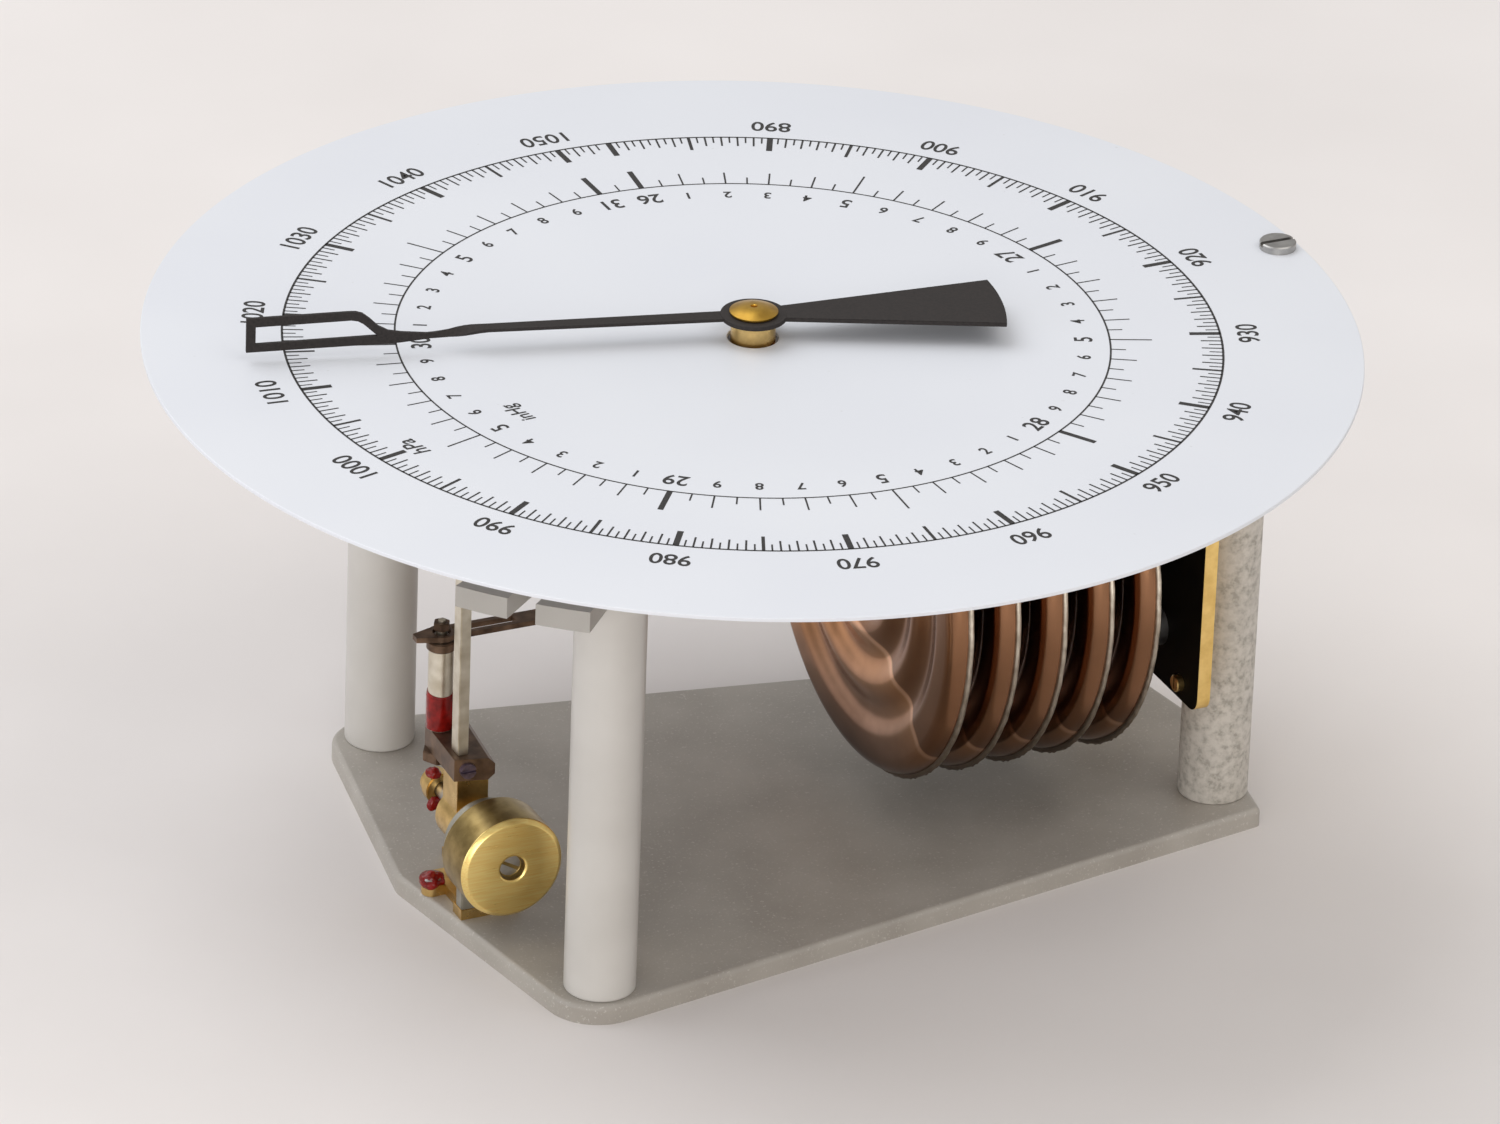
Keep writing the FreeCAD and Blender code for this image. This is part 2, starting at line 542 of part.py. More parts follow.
def rocker():
    weight_bore = 14.4
    shaft = rod(SHAFT_X, -weight_bore, SHAFT_Z, SHAFT_R,
                weight_bore + REAR_CHEEK_Y + CHEEK_T + 1.2, ALONG_Y)
    export("rocking_shaft", shaft)
    rear = REAR_CHEEK_Y + CHEEK_T
    collar = rod(SHAFT_X, rear + 0.2, SHAFT_Z, 1.6, 0.8, ALONG_Y)
    export("shaft_collar", collar.cut(shaft))

    hub = rod(SHAFT_X, -8.9, SHAFT_Z, 3.0, 5.4, ALONG_Y)
    upright = box(SHAFT_X - 2.2, SHAFT_X + 1.4, -7.4, -3.6, SHAFT_Z, BAR_Z0)
    export("rocker_arm", hub.fuse(upright).cut(shaft))

    bar = prism([(-36.8, -7.6), (-32.5, -8.6), (-31.5, 0.6), (-36.4, 1.3)], BAR_Z0, BAR_Z1)
    right_edges = [e for e in bar.Edges if e.BoundBox.XMax > -32
                   and e.BoundBox.YLength > 5]
    bar = bar.makeChamfer(0.7, right_edges)
    screw_x = -35.4
    head_y = -8.35
    bar_screw = rod(screw_x, head_y, 18.5, 0.87, 4.2, ALONG_Y)
    post_root = rod(POST_X, 0, BAR_Z0, 0.9, BAR_Z1 - BAR_Z0)
    export("cross_bar", bar.cut([bar_screw, post_root]))
    export("bar_screw", bar_screw.cut(box(screw_x - 1, screw_x + 1, head_y, head_y + 0.3,
                                         18.35, 18.65)))

    post = rod(POST_X, 0, BAR_Z1, POST_R, STRIP_Z - 1.4 - BAR_Z1)
    stub = rod(POST_X, 0, BAR_Z0 - 1.6, 0.9, BAR_Z1 - BAR_Z0 + 1.6)
    nut_z = STRIP_Z + STRIP_T + 0.3
    neck = rod(POST_X, 0, STRIP_Z - 1.4, 0.65, nut_z - 0.1 - STRIP_Z + 1.4)
    tip = rod(POST_X, 0, STRIP_Z, 0.4, nut_z + 1.1 - STRIP_Z)
    export("draw_post", post.fuse([stub, neck, tip]))
    collar = rod(POST_X, 0, STRIP_Z - 1.4, 1.6, 1.1).cut(neck)
    rims = [e for e in collar.Edges if e.BoundBox.ZLength < 0.01 and e.Curve.Radius > 1.5]
    export("post_collar", collar.makeChamfer(0.15, rims))
    nut = place(hex_prism(1.6, 0.9), POST_X, 0, nut_z).cut(tip)
    export("post_nut", nut)
    root_nut = place(hex_prism(3.2, 1.2), POST_X, 0, BAR_Z0 - 1.2).cut(stub)
    export("post_root_nut", root_nut)
    sleeve = rod(POST_X, 0, BAR_Z1, POST_R + 0.15, 4.6).cut(post)
    export("post_lacquer", sleeve)

    export("lift_rod", box(ROD_X - 0.6, ROD_X + 0.6, ROD_Y - 0.9, ROD_Y + 0.9, BAR_Z1, ROD_TOP))

    weight = rod(SHAFT_X, WEIGHT_Y0, SHAFT_Z, WEIGHT_R, WEIGHT_Y1 - WEIGHT_Y0, ALONG_Y)
    rims = [e for e in weight.Edges if e.BoundBox.YLength < 0.01]
    weight = weight.makeChamfer(0.45, rims)
    screw_end = WEIGHT_Y0 + 0.9
    recess = rod(SHAFT_X, WEIGHT_Y0, SHAFT_Z, 1.35, 0.9, ALONG_Y)
    screw = rod(SHAFT_X, screw_end, SHAFT_Z, 1.2, -weight_bore - screw_end, ALONG_Y)
    export("balance_weight", weight.cut([recess, screw, shaft]))
    slot = box(SHAFT_X - 1.2, SHAFT_X + 1.2, screw_end, screw_end + 0.5,
               SHAFT_Z - 0.2, SHAFT_Z + 0.2)
    slot.rotate(Vec(SHAFT_X, 0, SHAFT_Z), ALONG_Y, 30)
    export("balance_screw", screw.cut(slot))


# ---------------------------------------------------------------- link, sector, pinion
def sector_link():
    """Flat link between the lift rod and the sector's pin."""
    y_rod = ROD_Y
    y_pin = -SECTOR_ARM
    z1 = LINK_Z + LINK_T
    plate = box(ROD_X - 2.0, SECTOR_X + 1.5, y_rod - 2.0, y_pin + 1.6, LINK_Z, z1)
    plate = round_upright_edges(plate, [(0.8, -60, 0)])
    waist_low = box(ROD_X + 2.2, SECTOR_X - 1.8, y_rod - 2.0, y_rod - 0.7, LINK_Z, z1)
    waist_high = box(ROD_X + 2.2, SECTOR_X - 1.8, y_pin + 0.7, y_pin + 1.6, LINK_Z, z1)
    eye = box(ROD_X - 0.9, ROD_X + 0.9, ROD_Y - 1.2, ROD_Y + 1.2, LINK_Z, z1)
    pin_hole = rod(SECTOR_X, y_pin, LINK_Z, 0.8, LINK_T)
    export("sector_link", plate.cut([waist_low, waist_high, eye, pin_hole]))


def tooth(r_root, r_tip, half_root, half_tip, angle, cx):
    """Trapezoidal tooth outline, half angles in degrees at root and tip."""
    return [polar(r_root, angle - half_root, cx), polar(r_tip, angle - half_tip, cx),
            polar(r_tip, angle + half_tip, cx), polar(r_root, angle + half_root, cx)]


def toothed_sector():
    step = 360.0 / SECTOR_TEETH_PER_TURN
    first, last = -4, 11     # teeth either side of the one in mesh
    outline = []
    for i in range(first, last + 1):
        outline += tooth(SECTOR_R - 0.3, SECTOR_R + 0.2, 0.27 * step, 0.1 * step, i * step,
                         SECTOR_X)
    a0 = (first - 0.6) * step
    a1 = (last + 0.6) * step
    inner = [polar(SECTOR_R - 2.8, a1 + (a0 - a1) * i / 12, SECTOR_X) for i in range(13)]
    z0 = SECTOR_Z
    z1 = SECTOR_Z + SECTOR_T
    rim = prism([polar(SECTOR_R - 0.3, a0, SECTOR_X)] + outline
                + [polar(SECTOR_R - 0.3, a1, SECTOR_X)] + inner, z0, z1)
    arms = []
    for angle in (a0 + 1.6, a1 - 1.6):
        arm = box(1.5, SECTOR_R - 2.3, -0.7, 0.7, z0, z1)
        arm.translate(Vec(SECTOR_X, 0, 0))
        arms.append(turn(arm, angle, SECTOR_X))
    tail = prism([(SECTOR_X - 1.6, 0), (SECTOR_X - 1.0, -SECTOR_ARM), (SECTOR_X + 1.0, -SECTOR_ARM),
                  (SECTOR_X + 1.6, 0)], z0, z1)
    hub = rod(SECTOR_X, 0, z0, 3.0, SECTOR_T)
    eye = rod(SECTOR_X, -SECTOR_ARM, z0, 1.0, SECTOR_T)
    arbor = rod(SECTOR_X, 0, PLATE_Z + 0.3, 0.75, BRIDGE_Z + BRIDGE_T - PLATE_Z - 0.4)
    pin = rod(SECTOR_X, -SECTOR_ARM, LINK_Z - 0.3, 0.45, SECTOR_Z + SECTOR_T - LINK_Z + 0.3)
    gear = rim.fuse(arms + [tail, hub, eye]).cut([arbor, pin])
    export("toothed_sector", gear.removeSplitter())
    export("sector_arbor", arbor)
    export("sector_pin", pin)


HAIRSPRING_Z = 56.4
HAIRSPRING_TURNS = 5
HAIRSPRING_STUD_X = -4.9
HAIRSPRING_STUD_R = 0.5
COLLET_R = 1.15


def pinion_parts():
    step = 360.0 / PINION_TEETH
    outline = []
    for i in range(PINION_TEETH):
        outline += tooth(PINION_R - 0.3, PINION_R + 0.2, 0.24 * step, 0.09 * step,
                         180 + (i + 0.5) * step, 0)
    arbor = rod(0, 0, PLATE_Z + 0.3, 0.55, POINTER_Z + POINTER_T - PLATE_Z - 0.3)
    pinion = prism(outline, SECTOR_Z - 0.4, SECTOR_Z + SECTOR_T + 0.4).cut(arbor)
    export("pinion", pinion)
    export("pinion_arbor", arbor)
    collet = rod(0, 0, HAIRSPRING_Z - 0.3, COLLET_R, 1.0).cut(arbor)
    export("hairspring_collet", collet)


def hairspring():
    """Flat spiral from the collet out to the stud."""
    half = 0.06
    r_in = COLLET_R + half
    r_out = -HAIRSPRING_STUD_X - HAIRSPRING_STUD_R - half
    count = 24 * HAIRSPRING_TURNS
    inner = []
    outer = []
    for i in range(count + 1):
        r = r_in + (r_out - r_in) * i / count
        angle = 180 + 360.0 * HAIRSPRING_TURNS * i / count
        inner.append(polar(r - half, angle))
        outer.append(polar(r + half, angle))
    spiral = prism(outer + inner[::-1], HAIRSPRING_Z, HAIRSPRING_Z + 0.4)
    export("hairspring", spiral)
    stud = rod(HAIRSPRING_STUD_X, 0, HAIRSPRING_Z - 0.1, HAIRSPRING_STUD_R,
               BRIDGE_Z - HAIRSPRING_Z + 0.1)
    export("hairspring_stud", stud)


def bushes():
    def bush(x, bore, z, outer, height):
        ring = rod(x, 0, z, outer, height)
        return ring.cut(rod(x, 0, z, bore + RUNNING, height))

    export("plate_bushes", bush(0, 0.55, PLATE_Z, BUSH_R, PLATE_T),
           bush(SECTOR_X, 0.75, PLATE_Z, BUSH_R, PLATE_T))
    export("bridge_bushes", bush(0, 0.55, BRIDGE_Z, 1.6, BRIDGE_T),
           bush(SECTOR_X, 0.75, BRIDGE_Z, 1.6, BRIDGE_T))


def bridge():
    z0 = BRIDGE_Z
    z1 = BRIDGE_Z + BRIDGE_T
    spine = box(SECTOR_X, 0, -3.0, 3.0, z0, z1)
    px, py = BRIDGE_POSTS[1]
    cross = box(px - 2.4, px + 2.4, -py, py, z0, z1)
    ends = [rod(SECTOR_X, 0, z0, 3.0, BRIDGE_T), rod(0, 0, z0, 3.0, BRIDGE_T)]
    ends += [rod(x, y, z0, 2.4, BRIDGE_T) for x, y in BRIDGE_POSTS]
    plate = spine.fuse([cross] + ends)
    cuts = [rod(0, 0, z0, 1.6, BRIDGE_T), rod(SECTOR_X, 0, z0, 1.6, BRIDGE_T)]
    screws = []
    posts = []
    seat = PLATE_Z + PLATE_T
    for x, y in BRIDGE_POSTS:
        cuts.append(rod(x, y, z0, BRIDGE_SCREW_R, BRIDGE_T))
        cuts.append(rod(x, y, z0 + 0.6, 1.5, BRIDGE_T - 0.6))
        screw = place(slotted_screw(1.5, 0.6, BRIDGE_SCREW_R, 3.6, 15), x, y, z0 + 0.6)
        screws.append(screw)
        post = rod(x, y, seat, BRIDGE_POST_R, z0 - seat)
        post = post.fuse(rod(x, y, PLATE_Z, DIAL_FOOT_R, PLATE_T))
        posts.append(post.cut(rod(x, y, z0 - 3.0, BRIDGE_SCREW_R, 3.0)))
    export("bridge", plate.cut(cuts).removeSplitter())
    export("bridge_screws", *screws)
    export("bridge_posts", *posts)


# ---------------------------------------------------------------- pointer
def blade():
    """Upright blade with a long window, made along +X and then turned."""
    y = -BLADE_T / 2
    outer = [(POINTER_TWIST, 61.85), (POINTER_TIP, BLADE_LOW), (POINTER_TIP, BLADE_HIGH),
             (43.2, BLADE_HIGH + 0.25), (41.9, 64.95), (40.0, 63.2), (38.0, 62.65),
             (POINTER_TWIST, 62.3)]
    window = [(53.35, 62.0), (53.35, 64.1), (43.0, 64.35), (41.9, 63.8), (40.3, 62.35)]

    def slab(points):
        corners = [Vec(x, y, z) for x, z in points]
        return Part.Face(Part.makePolygon(corners + corners[:1])).extrude(Vec(0, BLADE_T, 0))

    return slab(outer).cut(slab(window))


def pointer():
    z0 = POINTER_Z
    z1 = POINTER_Z + POINTER_T
    hub = rod(0, 0, z0, HUB_R, POINTER_T)
    arm = prism([(0, -1.2), (27.0, -1.1), (POINTER_TWIST + 0.6, -BLADE_T / 2),
                 (POINTER_TWIST + 0.6, BLADE_T / 2), (27.0, 1.1), (0, 1.2)], z0, z1)
    drop = prism([(POINTER_TWIST - 0.2, -BLADE_T / 2), (POINTER_TWIST + 0.6, -BLADE_T / 2),
                  (POINTER_TWIST + 0.6, BLADE_T / 2), (POINTER_TWIST - 0.2, BLADE_T / 2)],
                 61.85, z1)
    tail_arc = [polar(TAIL_R, 180 + TAIL_HALF_ANGLE * i / 5) for i in range(-5, 6)]
    tail = prism([(-HUB_R + 0.6, 1.5)] + tail_arc + [(-HUB_R + 0.6, -1.5)], z0, z1)
    shape = hub.fuse([arm, drop, blade(), tail])
    shape = shape.cut(rod(0, 0, z0, 0.55, POINTER_T))
    export("pointer", turn(shape.removeSplitter(), POINTER_ANGLE))


def pointer_hub():
    z_low = DIAL_TOP - DIAL_T - 0.4
    arbor_r = 0.55
    tube = rod(0, 0, z_low, BOSS_TUBE_R, POINTER_Z - z_low)
    tube = tube.cut(rod(0, 0, z_low, arbor_r, POINTER_Z - z_low))
    export("pointer_boss", tube)
    z_cap = POINTER_Z + POINTER_T
    wall = rod(0, 0, z_cap, CAP_R, 0.35)
    dome_r = (CAP_R ** 2 + 0.5 ** 2) / (2 * 0.5)
    dome = Part.makeSphere(dome_r, Vec(0, 0, z_cap + 0.35 + 0.5 - dome_r))
    dome = dome.common(rod(0, 0, z_cap + 0.35, CAP_R, 0.6))
    pit = rod(0, 0, z_cap + 0.45, 0.35, 1.0)
    export("pointer_cap", wall.fuse(dome).cut(pit).removeSplitter())


base_plate()
base_screws()
pillars()
top_plate()
top_screws()
dial()
dial_posts()
dial_screw()
capsules()
stack_ends()
capsule_bracket()
bearing_frame()
lacquer_seals()
rocker()
sector_link()
toothed_sector()
pinion_parts()
hairspring()
bushes()
bridge()
pointer()
pointer_hub()
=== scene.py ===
"""Looks of the aneroid barometer movement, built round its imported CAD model."""
import bpy
import bmesh
import json
import math
from mathutils import Matrix, Vector, noise


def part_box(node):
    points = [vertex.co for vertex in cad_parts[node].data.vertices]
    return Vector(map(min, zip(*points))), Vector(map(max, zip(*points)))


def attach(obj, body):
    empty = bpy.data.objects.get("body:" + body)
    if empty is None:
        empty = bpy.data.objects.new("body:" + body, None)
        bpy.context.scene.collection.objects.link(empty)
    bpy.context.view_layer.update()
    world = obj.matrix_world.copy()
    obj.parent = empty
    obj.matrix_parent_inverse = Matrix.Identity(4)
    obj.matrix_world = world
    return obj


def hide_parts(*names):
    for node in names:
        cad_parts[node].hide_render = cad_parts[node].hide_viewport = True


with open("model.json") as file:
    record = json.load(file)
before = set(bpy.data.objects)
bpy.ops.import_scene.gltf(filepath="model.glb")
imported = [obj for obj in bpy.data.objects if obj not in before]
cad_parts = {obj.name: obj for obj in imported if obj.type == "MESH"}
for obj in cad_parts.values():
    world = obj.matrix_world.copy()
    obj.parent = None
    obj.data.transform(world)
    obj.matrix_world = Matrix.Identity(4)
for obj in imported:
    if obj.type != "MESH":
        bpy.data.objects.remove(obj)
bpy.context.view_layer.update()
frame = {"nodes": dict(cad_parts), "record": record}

MM = 0.001
ROOT = "movement_frame"


def span(node):
    """Lowest and highest corners of a CAD node in millimetres."""
    low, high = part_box(node)
    return low / MM, high / MM


DIAL_LOW, DIAL_HIGH = span("dial")
DIAL_TOP = DIAL_HIGH.z
DIAL_R = 65.0
DIAL_HOLE_R = 2.75
SCALE_R = 50.0                       # outer scale circle
INNER_R = 0.7608 * SCALE_R           # inner scale circle
REFERENCE_TURN = 70.0                # a direction on the dial, in degrees from +X
REFERENCE_HPA = 965.0
SCALE_START = 162.48                 # clockwise degrees from that direction to that pressure
DEGREES_PER_HPA = 2.0772
HPA_PER_INHG = 33.8639
DEGREES_PER_INHG = 70.53
HPA_RANGE = (880, 1052)
INHG_RANGE = (26, 31)


# ---------------------------------------------------------------- node materials
class Surface:
    """A Principled material with short helpers for its node tree."""

    def __init__(self, name, colour, roughness, metallic=0.0):
        self.material = bpy.data.materials.new(name)
        self.material.use_nodes = True
        self.tree = self.material.node_tree
        self.shader = self.tree.nodes["Principled BSDF"]
        self.shader.inputs["Base Color"].default_value = (*colour, 1)
        self.shader.inputs["Roughness"].default_value = roughness
        self.shader.inputs["Metallic"].default_value = metallic
        self.bumped = None
        coords = self.tree.nodes.new("ShaderNodeTexCoord")
        self.coords = coords.outputs["Object"]

    def add(self, kind, **settings):
        node = self.tree.nodes.new(kind)
        for key, value in settings.items():
            if hasattr(node, key):
                setattr(node, key, value)
            else:
                node.inputs[key.replace("_", " ")].default_value = value
        return node

    def link(self, source, target):
        self.tree.links.new(source, target)

    def stretched(self, scale, rotation=(0, 0, 0)):
        mapping = self.add("ShaderNodeMapping")
        mapping.inputs["Scale"].default_value = scale
        mapping.inputs["Rotation"].default_value = rotation
        self.link(self.coords, mapping.inputs["Vector"])
        return mapping.outputs["Vector"]

    def noise(self, size_mm, detail=3.0, roughness=0.5, vector=None):
        """Noise whose features are about size_mm across."""
        node = self.add("ShaderNodeTexNoise", Scale=1.0 / (size_mm * MM), Detail=detail,
                        Roughness=roughness)
        self.link(vector or self.coords, node.inputs["Vector"])
        return node.outputs["Fac"]

    def ramp(self, value, stops):
        """Colour ramp: stops are (position, colour) pairs."""
        node = self.add("ShaderNodeValToRGB")
        elements = node.color_ramp.elements
        while len(elements) < len(stops):
            elements.new(0.5)
        for element, (position, colour) in zip(elements, stops):
            element.position = position
            element.color = (*colour, 1)
        self.link(value, node.inputs["Fac"])
        return node.outputs["Color"]

    def grey_ramp(self, value, stops):
        return self.ramp(value, [(p, (v, v, v)) for p, v in stops])

    def mix(self, factor, a, b):
        node = self.add("ShaderNodeMix", data_type="RGBA")
        for value, socket in ((a, node.inputs[6]), (b, node.inputs[7])):
            if isinstance(value, tuple):
                socket.default_value = (*value, 1)
            else:
                self.link(value, socket)
        self.link(factor, node.inputs[0])
        return node.outputs[2]

    def radius(self, centre, axis):
        """Distance in millimetres from an axis through centre, axis "X", "Y" or "Z"."""
        shift = self.add("ShaderNodeMapping", vector_type="POINT")
        flat = [1 / MM, 1 / MM, 1 / MM]
        flat["XYZ".index(axis)] = 0
        shift.inputs["Location"].default_value = [-c * f * MM for c, f in zip(centre, flat)]
        shift.inputs["Scale"].default_value = flat
        self.link(self.coords, shift.inputs["Vector"])
        length = self.add("ShaderNodeVectorMath", operation="LENGTH")
        self.link(shift.outputs["Vector"], length.inputs[0])
        return length.outputs["Value"]

    def scaled(self, value, low, high):
        """Map low..high to 0..1, clamped."""
        node = self.add("ShaderNodeMapRange")
        node.inputs["From Min"].default_value = low
        node.inputs["From Max"].default_value = high
        self.link(value, node.inputs["Value"])
        return node.outputs["Result"]

    def height_between(self, low_mm, high_mm):
        """Height above the underside of the base plate, low_mm..high_mm mapped to 0..1."""
        split = self.add("ShaderNodeSeparateXYZ")
        self.link(self.coords, split.inputs[0])
        return self.scaled(split.outputs["Z"], low_mm * MM, high_mm * MM)

    def colour(self, source):
        self.link(source, self.shader.inputs["Base Color"])
        return self

    def rough(self, source, low, high):
        node = self.add("ShaderNodeMapRange")
        node.inputs["To Min"].default_value = low
        node.inputs["To Max"].default_value = high
        self.link(source, node.inputs["Value"])
        self.link(node.outputs["Result"], self.shader.inputs["Roughness"])
        return self

    def bump(self, source, depth_mm, strength=1.0):
        node = self.add("ShaderNodeBump", Strength=strength, Distance=depth_mm * MM)
        self.link(source, node.inputs["Height"])
        if self.bumped:
            self.link(self.bumped, node.inputs["Normal"])
        self.bumped = node.outputs["Normal"]
        self.link(self.bumped, self.shader.inputs["Normal"])
        return self

    def set(self, **values):
        for key, value in values.items():
            self.shader.inputs[key.replace("_", " ")].default_value = value
        return self


def hammer_paint():
    """Speckled grey paint of the base plate."""
    s = Surface("grey_hammer_paint", (0.3, 0.28, 0.25), 0.45)
    broad = s.noise(9, 3)
    speck = s.noise(0.35, 2, 0.7)
    tint = s.ramp(broad, [(0.3, (0.335, 0.305, 0.268)), (0.7, (0.42, 0.388, 0.346))])
    dots = s.grey_ramp(speck, [(0.60, 0.0), (0.70, 1.0)])
    s.colour(s.mix(dots, tint, (0.50, 0.47, 0.43)))
    s.rough(broad, 0.38, 0.52)
    s.bump(s.noise(0.8, 2), 0.05, 0.35)
    return s.bump(speck, 0.03, 0.35).material


def smooth_paint(name, dark, light):
    """Grey satin paint of the smooth pillars and the top plate."""
    s = Surface(name, dark, 0.36)
    broad = s.noise(12, 3)
    s.colour(s.ramp(broad, [(0.3, dark), (0.7, light)]))
    s.rough(s.noise(2.5, 3), 0.30, 0.42)
    return s.bump(s.noise(0.4, 2), 0.012, 0.4).material


def mottled_metal():
    """Mottled galvanised grey of the right-hand pillars."""
    s = Surface("mottled_grey", (0.5, 0.47, 0.42), 0.5)
    cells = s.noise(0.95, 3, 0.62)
    stain = s.noise(6, 2)
    patches = s.ramp(cells, [(0.36, (0.33, 0.305, 0.265)), (0.46, (0.46, 0.425, 0.375)),
                             (0.62, (0.56, 0.52, 0.465))])
    tint = s.grey_ramp(stain, [(0.3, 0.0), (0.9, 0.35)])
    s.colour(s.mix(tint, patches, (0.44, 0.41, 0.37)))
    s.rough(cells, 0.62, 0.40)
    return s.bump(cells, 0.06, 0.35).material


def dial_enamel():
    """Cool white satin sheet of the dial."""
    s = Surface("dial_enamel", (0.83, 0.85, 0.89), 0.42)
    broad = s.noise(30, 2)
    fine = s.noise(0.25, 2)
    base = s.ramp(broad, [(0.3, (0.690, 0.705, 0.750)), (0.7, (0.715, 0.730, 0.768))])
    dust = s.grey_ramp(s.noise(0.9, 1), [(0.80, 0.0), (0.86, 0.5)])
    s.colour(s.mix(dust, base, (0.52, 0.52, 0.52)))
    s.rough(fine, 0.36, 0.46)
    return s.bump(fine, 0.004, 0.25).material


def printed_ink():
    s = Surface("printed_ink", (0.018, 0.016, 0.016), 0.5)
    s.colour(s.ramp(s.noise(0.3, 2), [(0.3, (0.010, 0.009, 0.009)), (0.75, (0.035, 0.032, 0.03))]))
    return s.rough(s.noise(0.2, 1), 0.4, 0.6).material


def brass(name, light, dark, grain_axis=None, roughness=(0.22, 0.36)):
    """Lacquered brass with fine tool marks along one axis and faint tarnish."""
    s = Surface(name, light, roughness[0], 1.0)
    stretch = [1.0, 1.0, 1.0]
    if grain_axis:
        stretch["XYZ".index(grain_axis)] = 0.06
    grain = s.noise(0.12, 2, 0.6, s.stretched(stretch))
    tarnish = s.noise(2.4, 4, 0.6)
    s.colour(s.ramp(tarnish, [(0.33, dark), (0.62, light)]))
    s.rough(tarnish, roughness[1], roughness[0])
    return s.bump(grain, 0.006, 0.35).material


def capsule_sheet():
    """Coppery bronze diaphragm: painted highlight rings by radius, a bright painted highlight
    beside the rim, painted shade in the rim groove and painted shade darkening it low down.
    """
    s = Surface("capsule_bronze", (0.5, 0.25, 0.14), 0.28, 1.0)
    r = s.radius(STACK_AXIS, "X")
    stain = s.noise(5, 4, 0.6)
    wave = s.scaled(r, 0.0, 25.0)
    # painted light by radius: the brighter stops are painted highlights on the corrugations and
    # beside the rim, and the dark last stop is painted shade in the rim groove
    rings = s.ramp(wave, [(0.0, (0.40, 0.22, 0.13)), (0.25, (0.50, 0.28, 0.18)),
                          (0.55, (0.76, 0.45, 0.30)), (0.80, (0.60, 0.31, 0.16)),
                          (0.905, (0.62, 0.31, 0.15)), (0.93, (1.0, 0.60, 0.38)),
                          (0.945, (0.95, 0.54, 0.33)), (0.956, (0.30, 0.15, 0.08))])
    mottled = s.grey_ramp(stain, [(0.35, 0.0), (0.8, 0.4)])
    stained_painted_rings = s.mix(mottled, rings, (0.20, 0.105, 0.055))
    # painted shade: the copper darkens towards the bottom, where the diaphragms reflect the shaded
    # base plate
    low = s.grey_ramp(s.height_between(8, 21), [(0.0, 0.94), (1.0, 0.0)])
    s.colour(s.mix(low, stained_painted_rings, (0.045, 0.020, 0.012)))
    s.rough(stain, 0.17, 0.30)
    return s.bump(s.noise(0.5, 3), 0.012, 0.3).material


def solder():
    """Dull silvery solder round the capsule rims, with painted shade darkening it towards the
    bottom.
    """
    s = Surface("rim_solder", (0.6, 0.56, 0.5), 0.4, 1.0)
    bright = s.ramp(s.noise(1.2, 3), [(0.3, (0.46, 0.40, 0.32)), (0.7, (0.74, 0.67, 0.56))])
    # painted shade: the solder darkens towards the bottom of the rims
    low = s.grey_ramp(s.height_between(10, 34), [(0.0, 1.0), (1.0, 0.0)])
    s.colour(s.mix(low, bright, (0.14, 0.10, 0.07)))
    s.rough(s.noise(0.6, 2), 0.30, 0.48)
    return s.bump(s.noise(0.5, 2), 0.03, 0.5).material


def steel(name, light, dark, roughness=(0.26, 0.42)):
    s = Surface(name, light, roughness[0], 1.0)
    broad = s.noise(1.8, 3)
    s.colour(s.ramp(broad, [(0.3, dark), (0.7, light)]))
    s.rough(broad, roughness[0], roughness[1])
    return s.bump(s.noise(0.1, 2, 0.6, s.stretched((1, 1, 0.1))), 0.005, 0.35).material


def dark_bronze():
    """Brown-black oxidised bronze of the bar and the draw strip."""
    s = Surface("dark_bronze", (0.12, 0.07, 0.045), 0.42, 0.75)
    broad = s.noise(1.6, 3)
    s.colour(s.ramp(broad, [(0.3, (0.075, 0.045, 0.028)), (0.7, (0.20, 0.125, 0.08))]))
    s.rough(broad, 0.34, 0.52)
    return s.bump(s.noise(0.25, 2), 0.01, 0.4).material


def red_lacquer():
    s = Surface("red_sealing_lacquer", (0.42, 0.015, 0.015), 0.22)
    thick = s.noise(0.9, 2)
    s.colour(s.ramp(thick, [(0.3, (0.13, 0.003, 0.002)), (0.7, (0.28, 0.007, 0.005))]))
    s.set(Coat_Weight=0.1, Coat_Roughness=0.2, Specular_IOR_Level=0.3)
    return s.bump(s.noise(0.7, 2), 0.05, 0.4).material


def blackened():
    """Matt brown-black finish of the pointer."""
    s = Surface("blackened_pointer", (0.022, 0.018, 0.016), 0.6)
    s.set(Specular_IOR_Level=0.3)
    fine = s.noise(0.3, 3)
    s.colour(s.ramp(fine, [(0.3, (0.016, 0.013, 0.012)), (0.7, (0.030, 0.024, 0.022))]))
    s.rough(fine, 0.55, 0.70)
    return s.bump(fine, 0.008, 0.4).material


def blackened_face():
    """Brown-black painted shade for the bracket's face towards the capsules."""
    s = Surface("bracket_painted_shade", (0.012, 0.010, 0.008), 0.6)
    s.set(Specular_IOR_Level=0.05)
    broad = s.noise(3.0, 3)
    s.colour(s.ramp(broad, [(0.3, (0.002, 0.0016, 0.001)), (0.7, (0.007, 0.005, 0.003))]))
    s.rough(broad, 0.55, 0.70)
    return s.bump(s.noise(0.3, 2), 0.01, 0.4).material


def weight_brass():
    """Bright gold brass of the balance weight, faced across."""
    s = Surface("weight_brass", (0.95, 0.70, 0.32), 0.28, 1.0)
    grain = s.noise(0.16, 2, 0.6, s.stretched((0.05, 1, 1)))
    s.colour(s.ramp(grain, [(0.3, (0.95, 0.66, 0.22)), (0.7, (1.0, 0.80, 0.31))]))
    s.rough(grain, 0.24, 0.36)
    return s.bump(grain, 0.012, 0.4).material


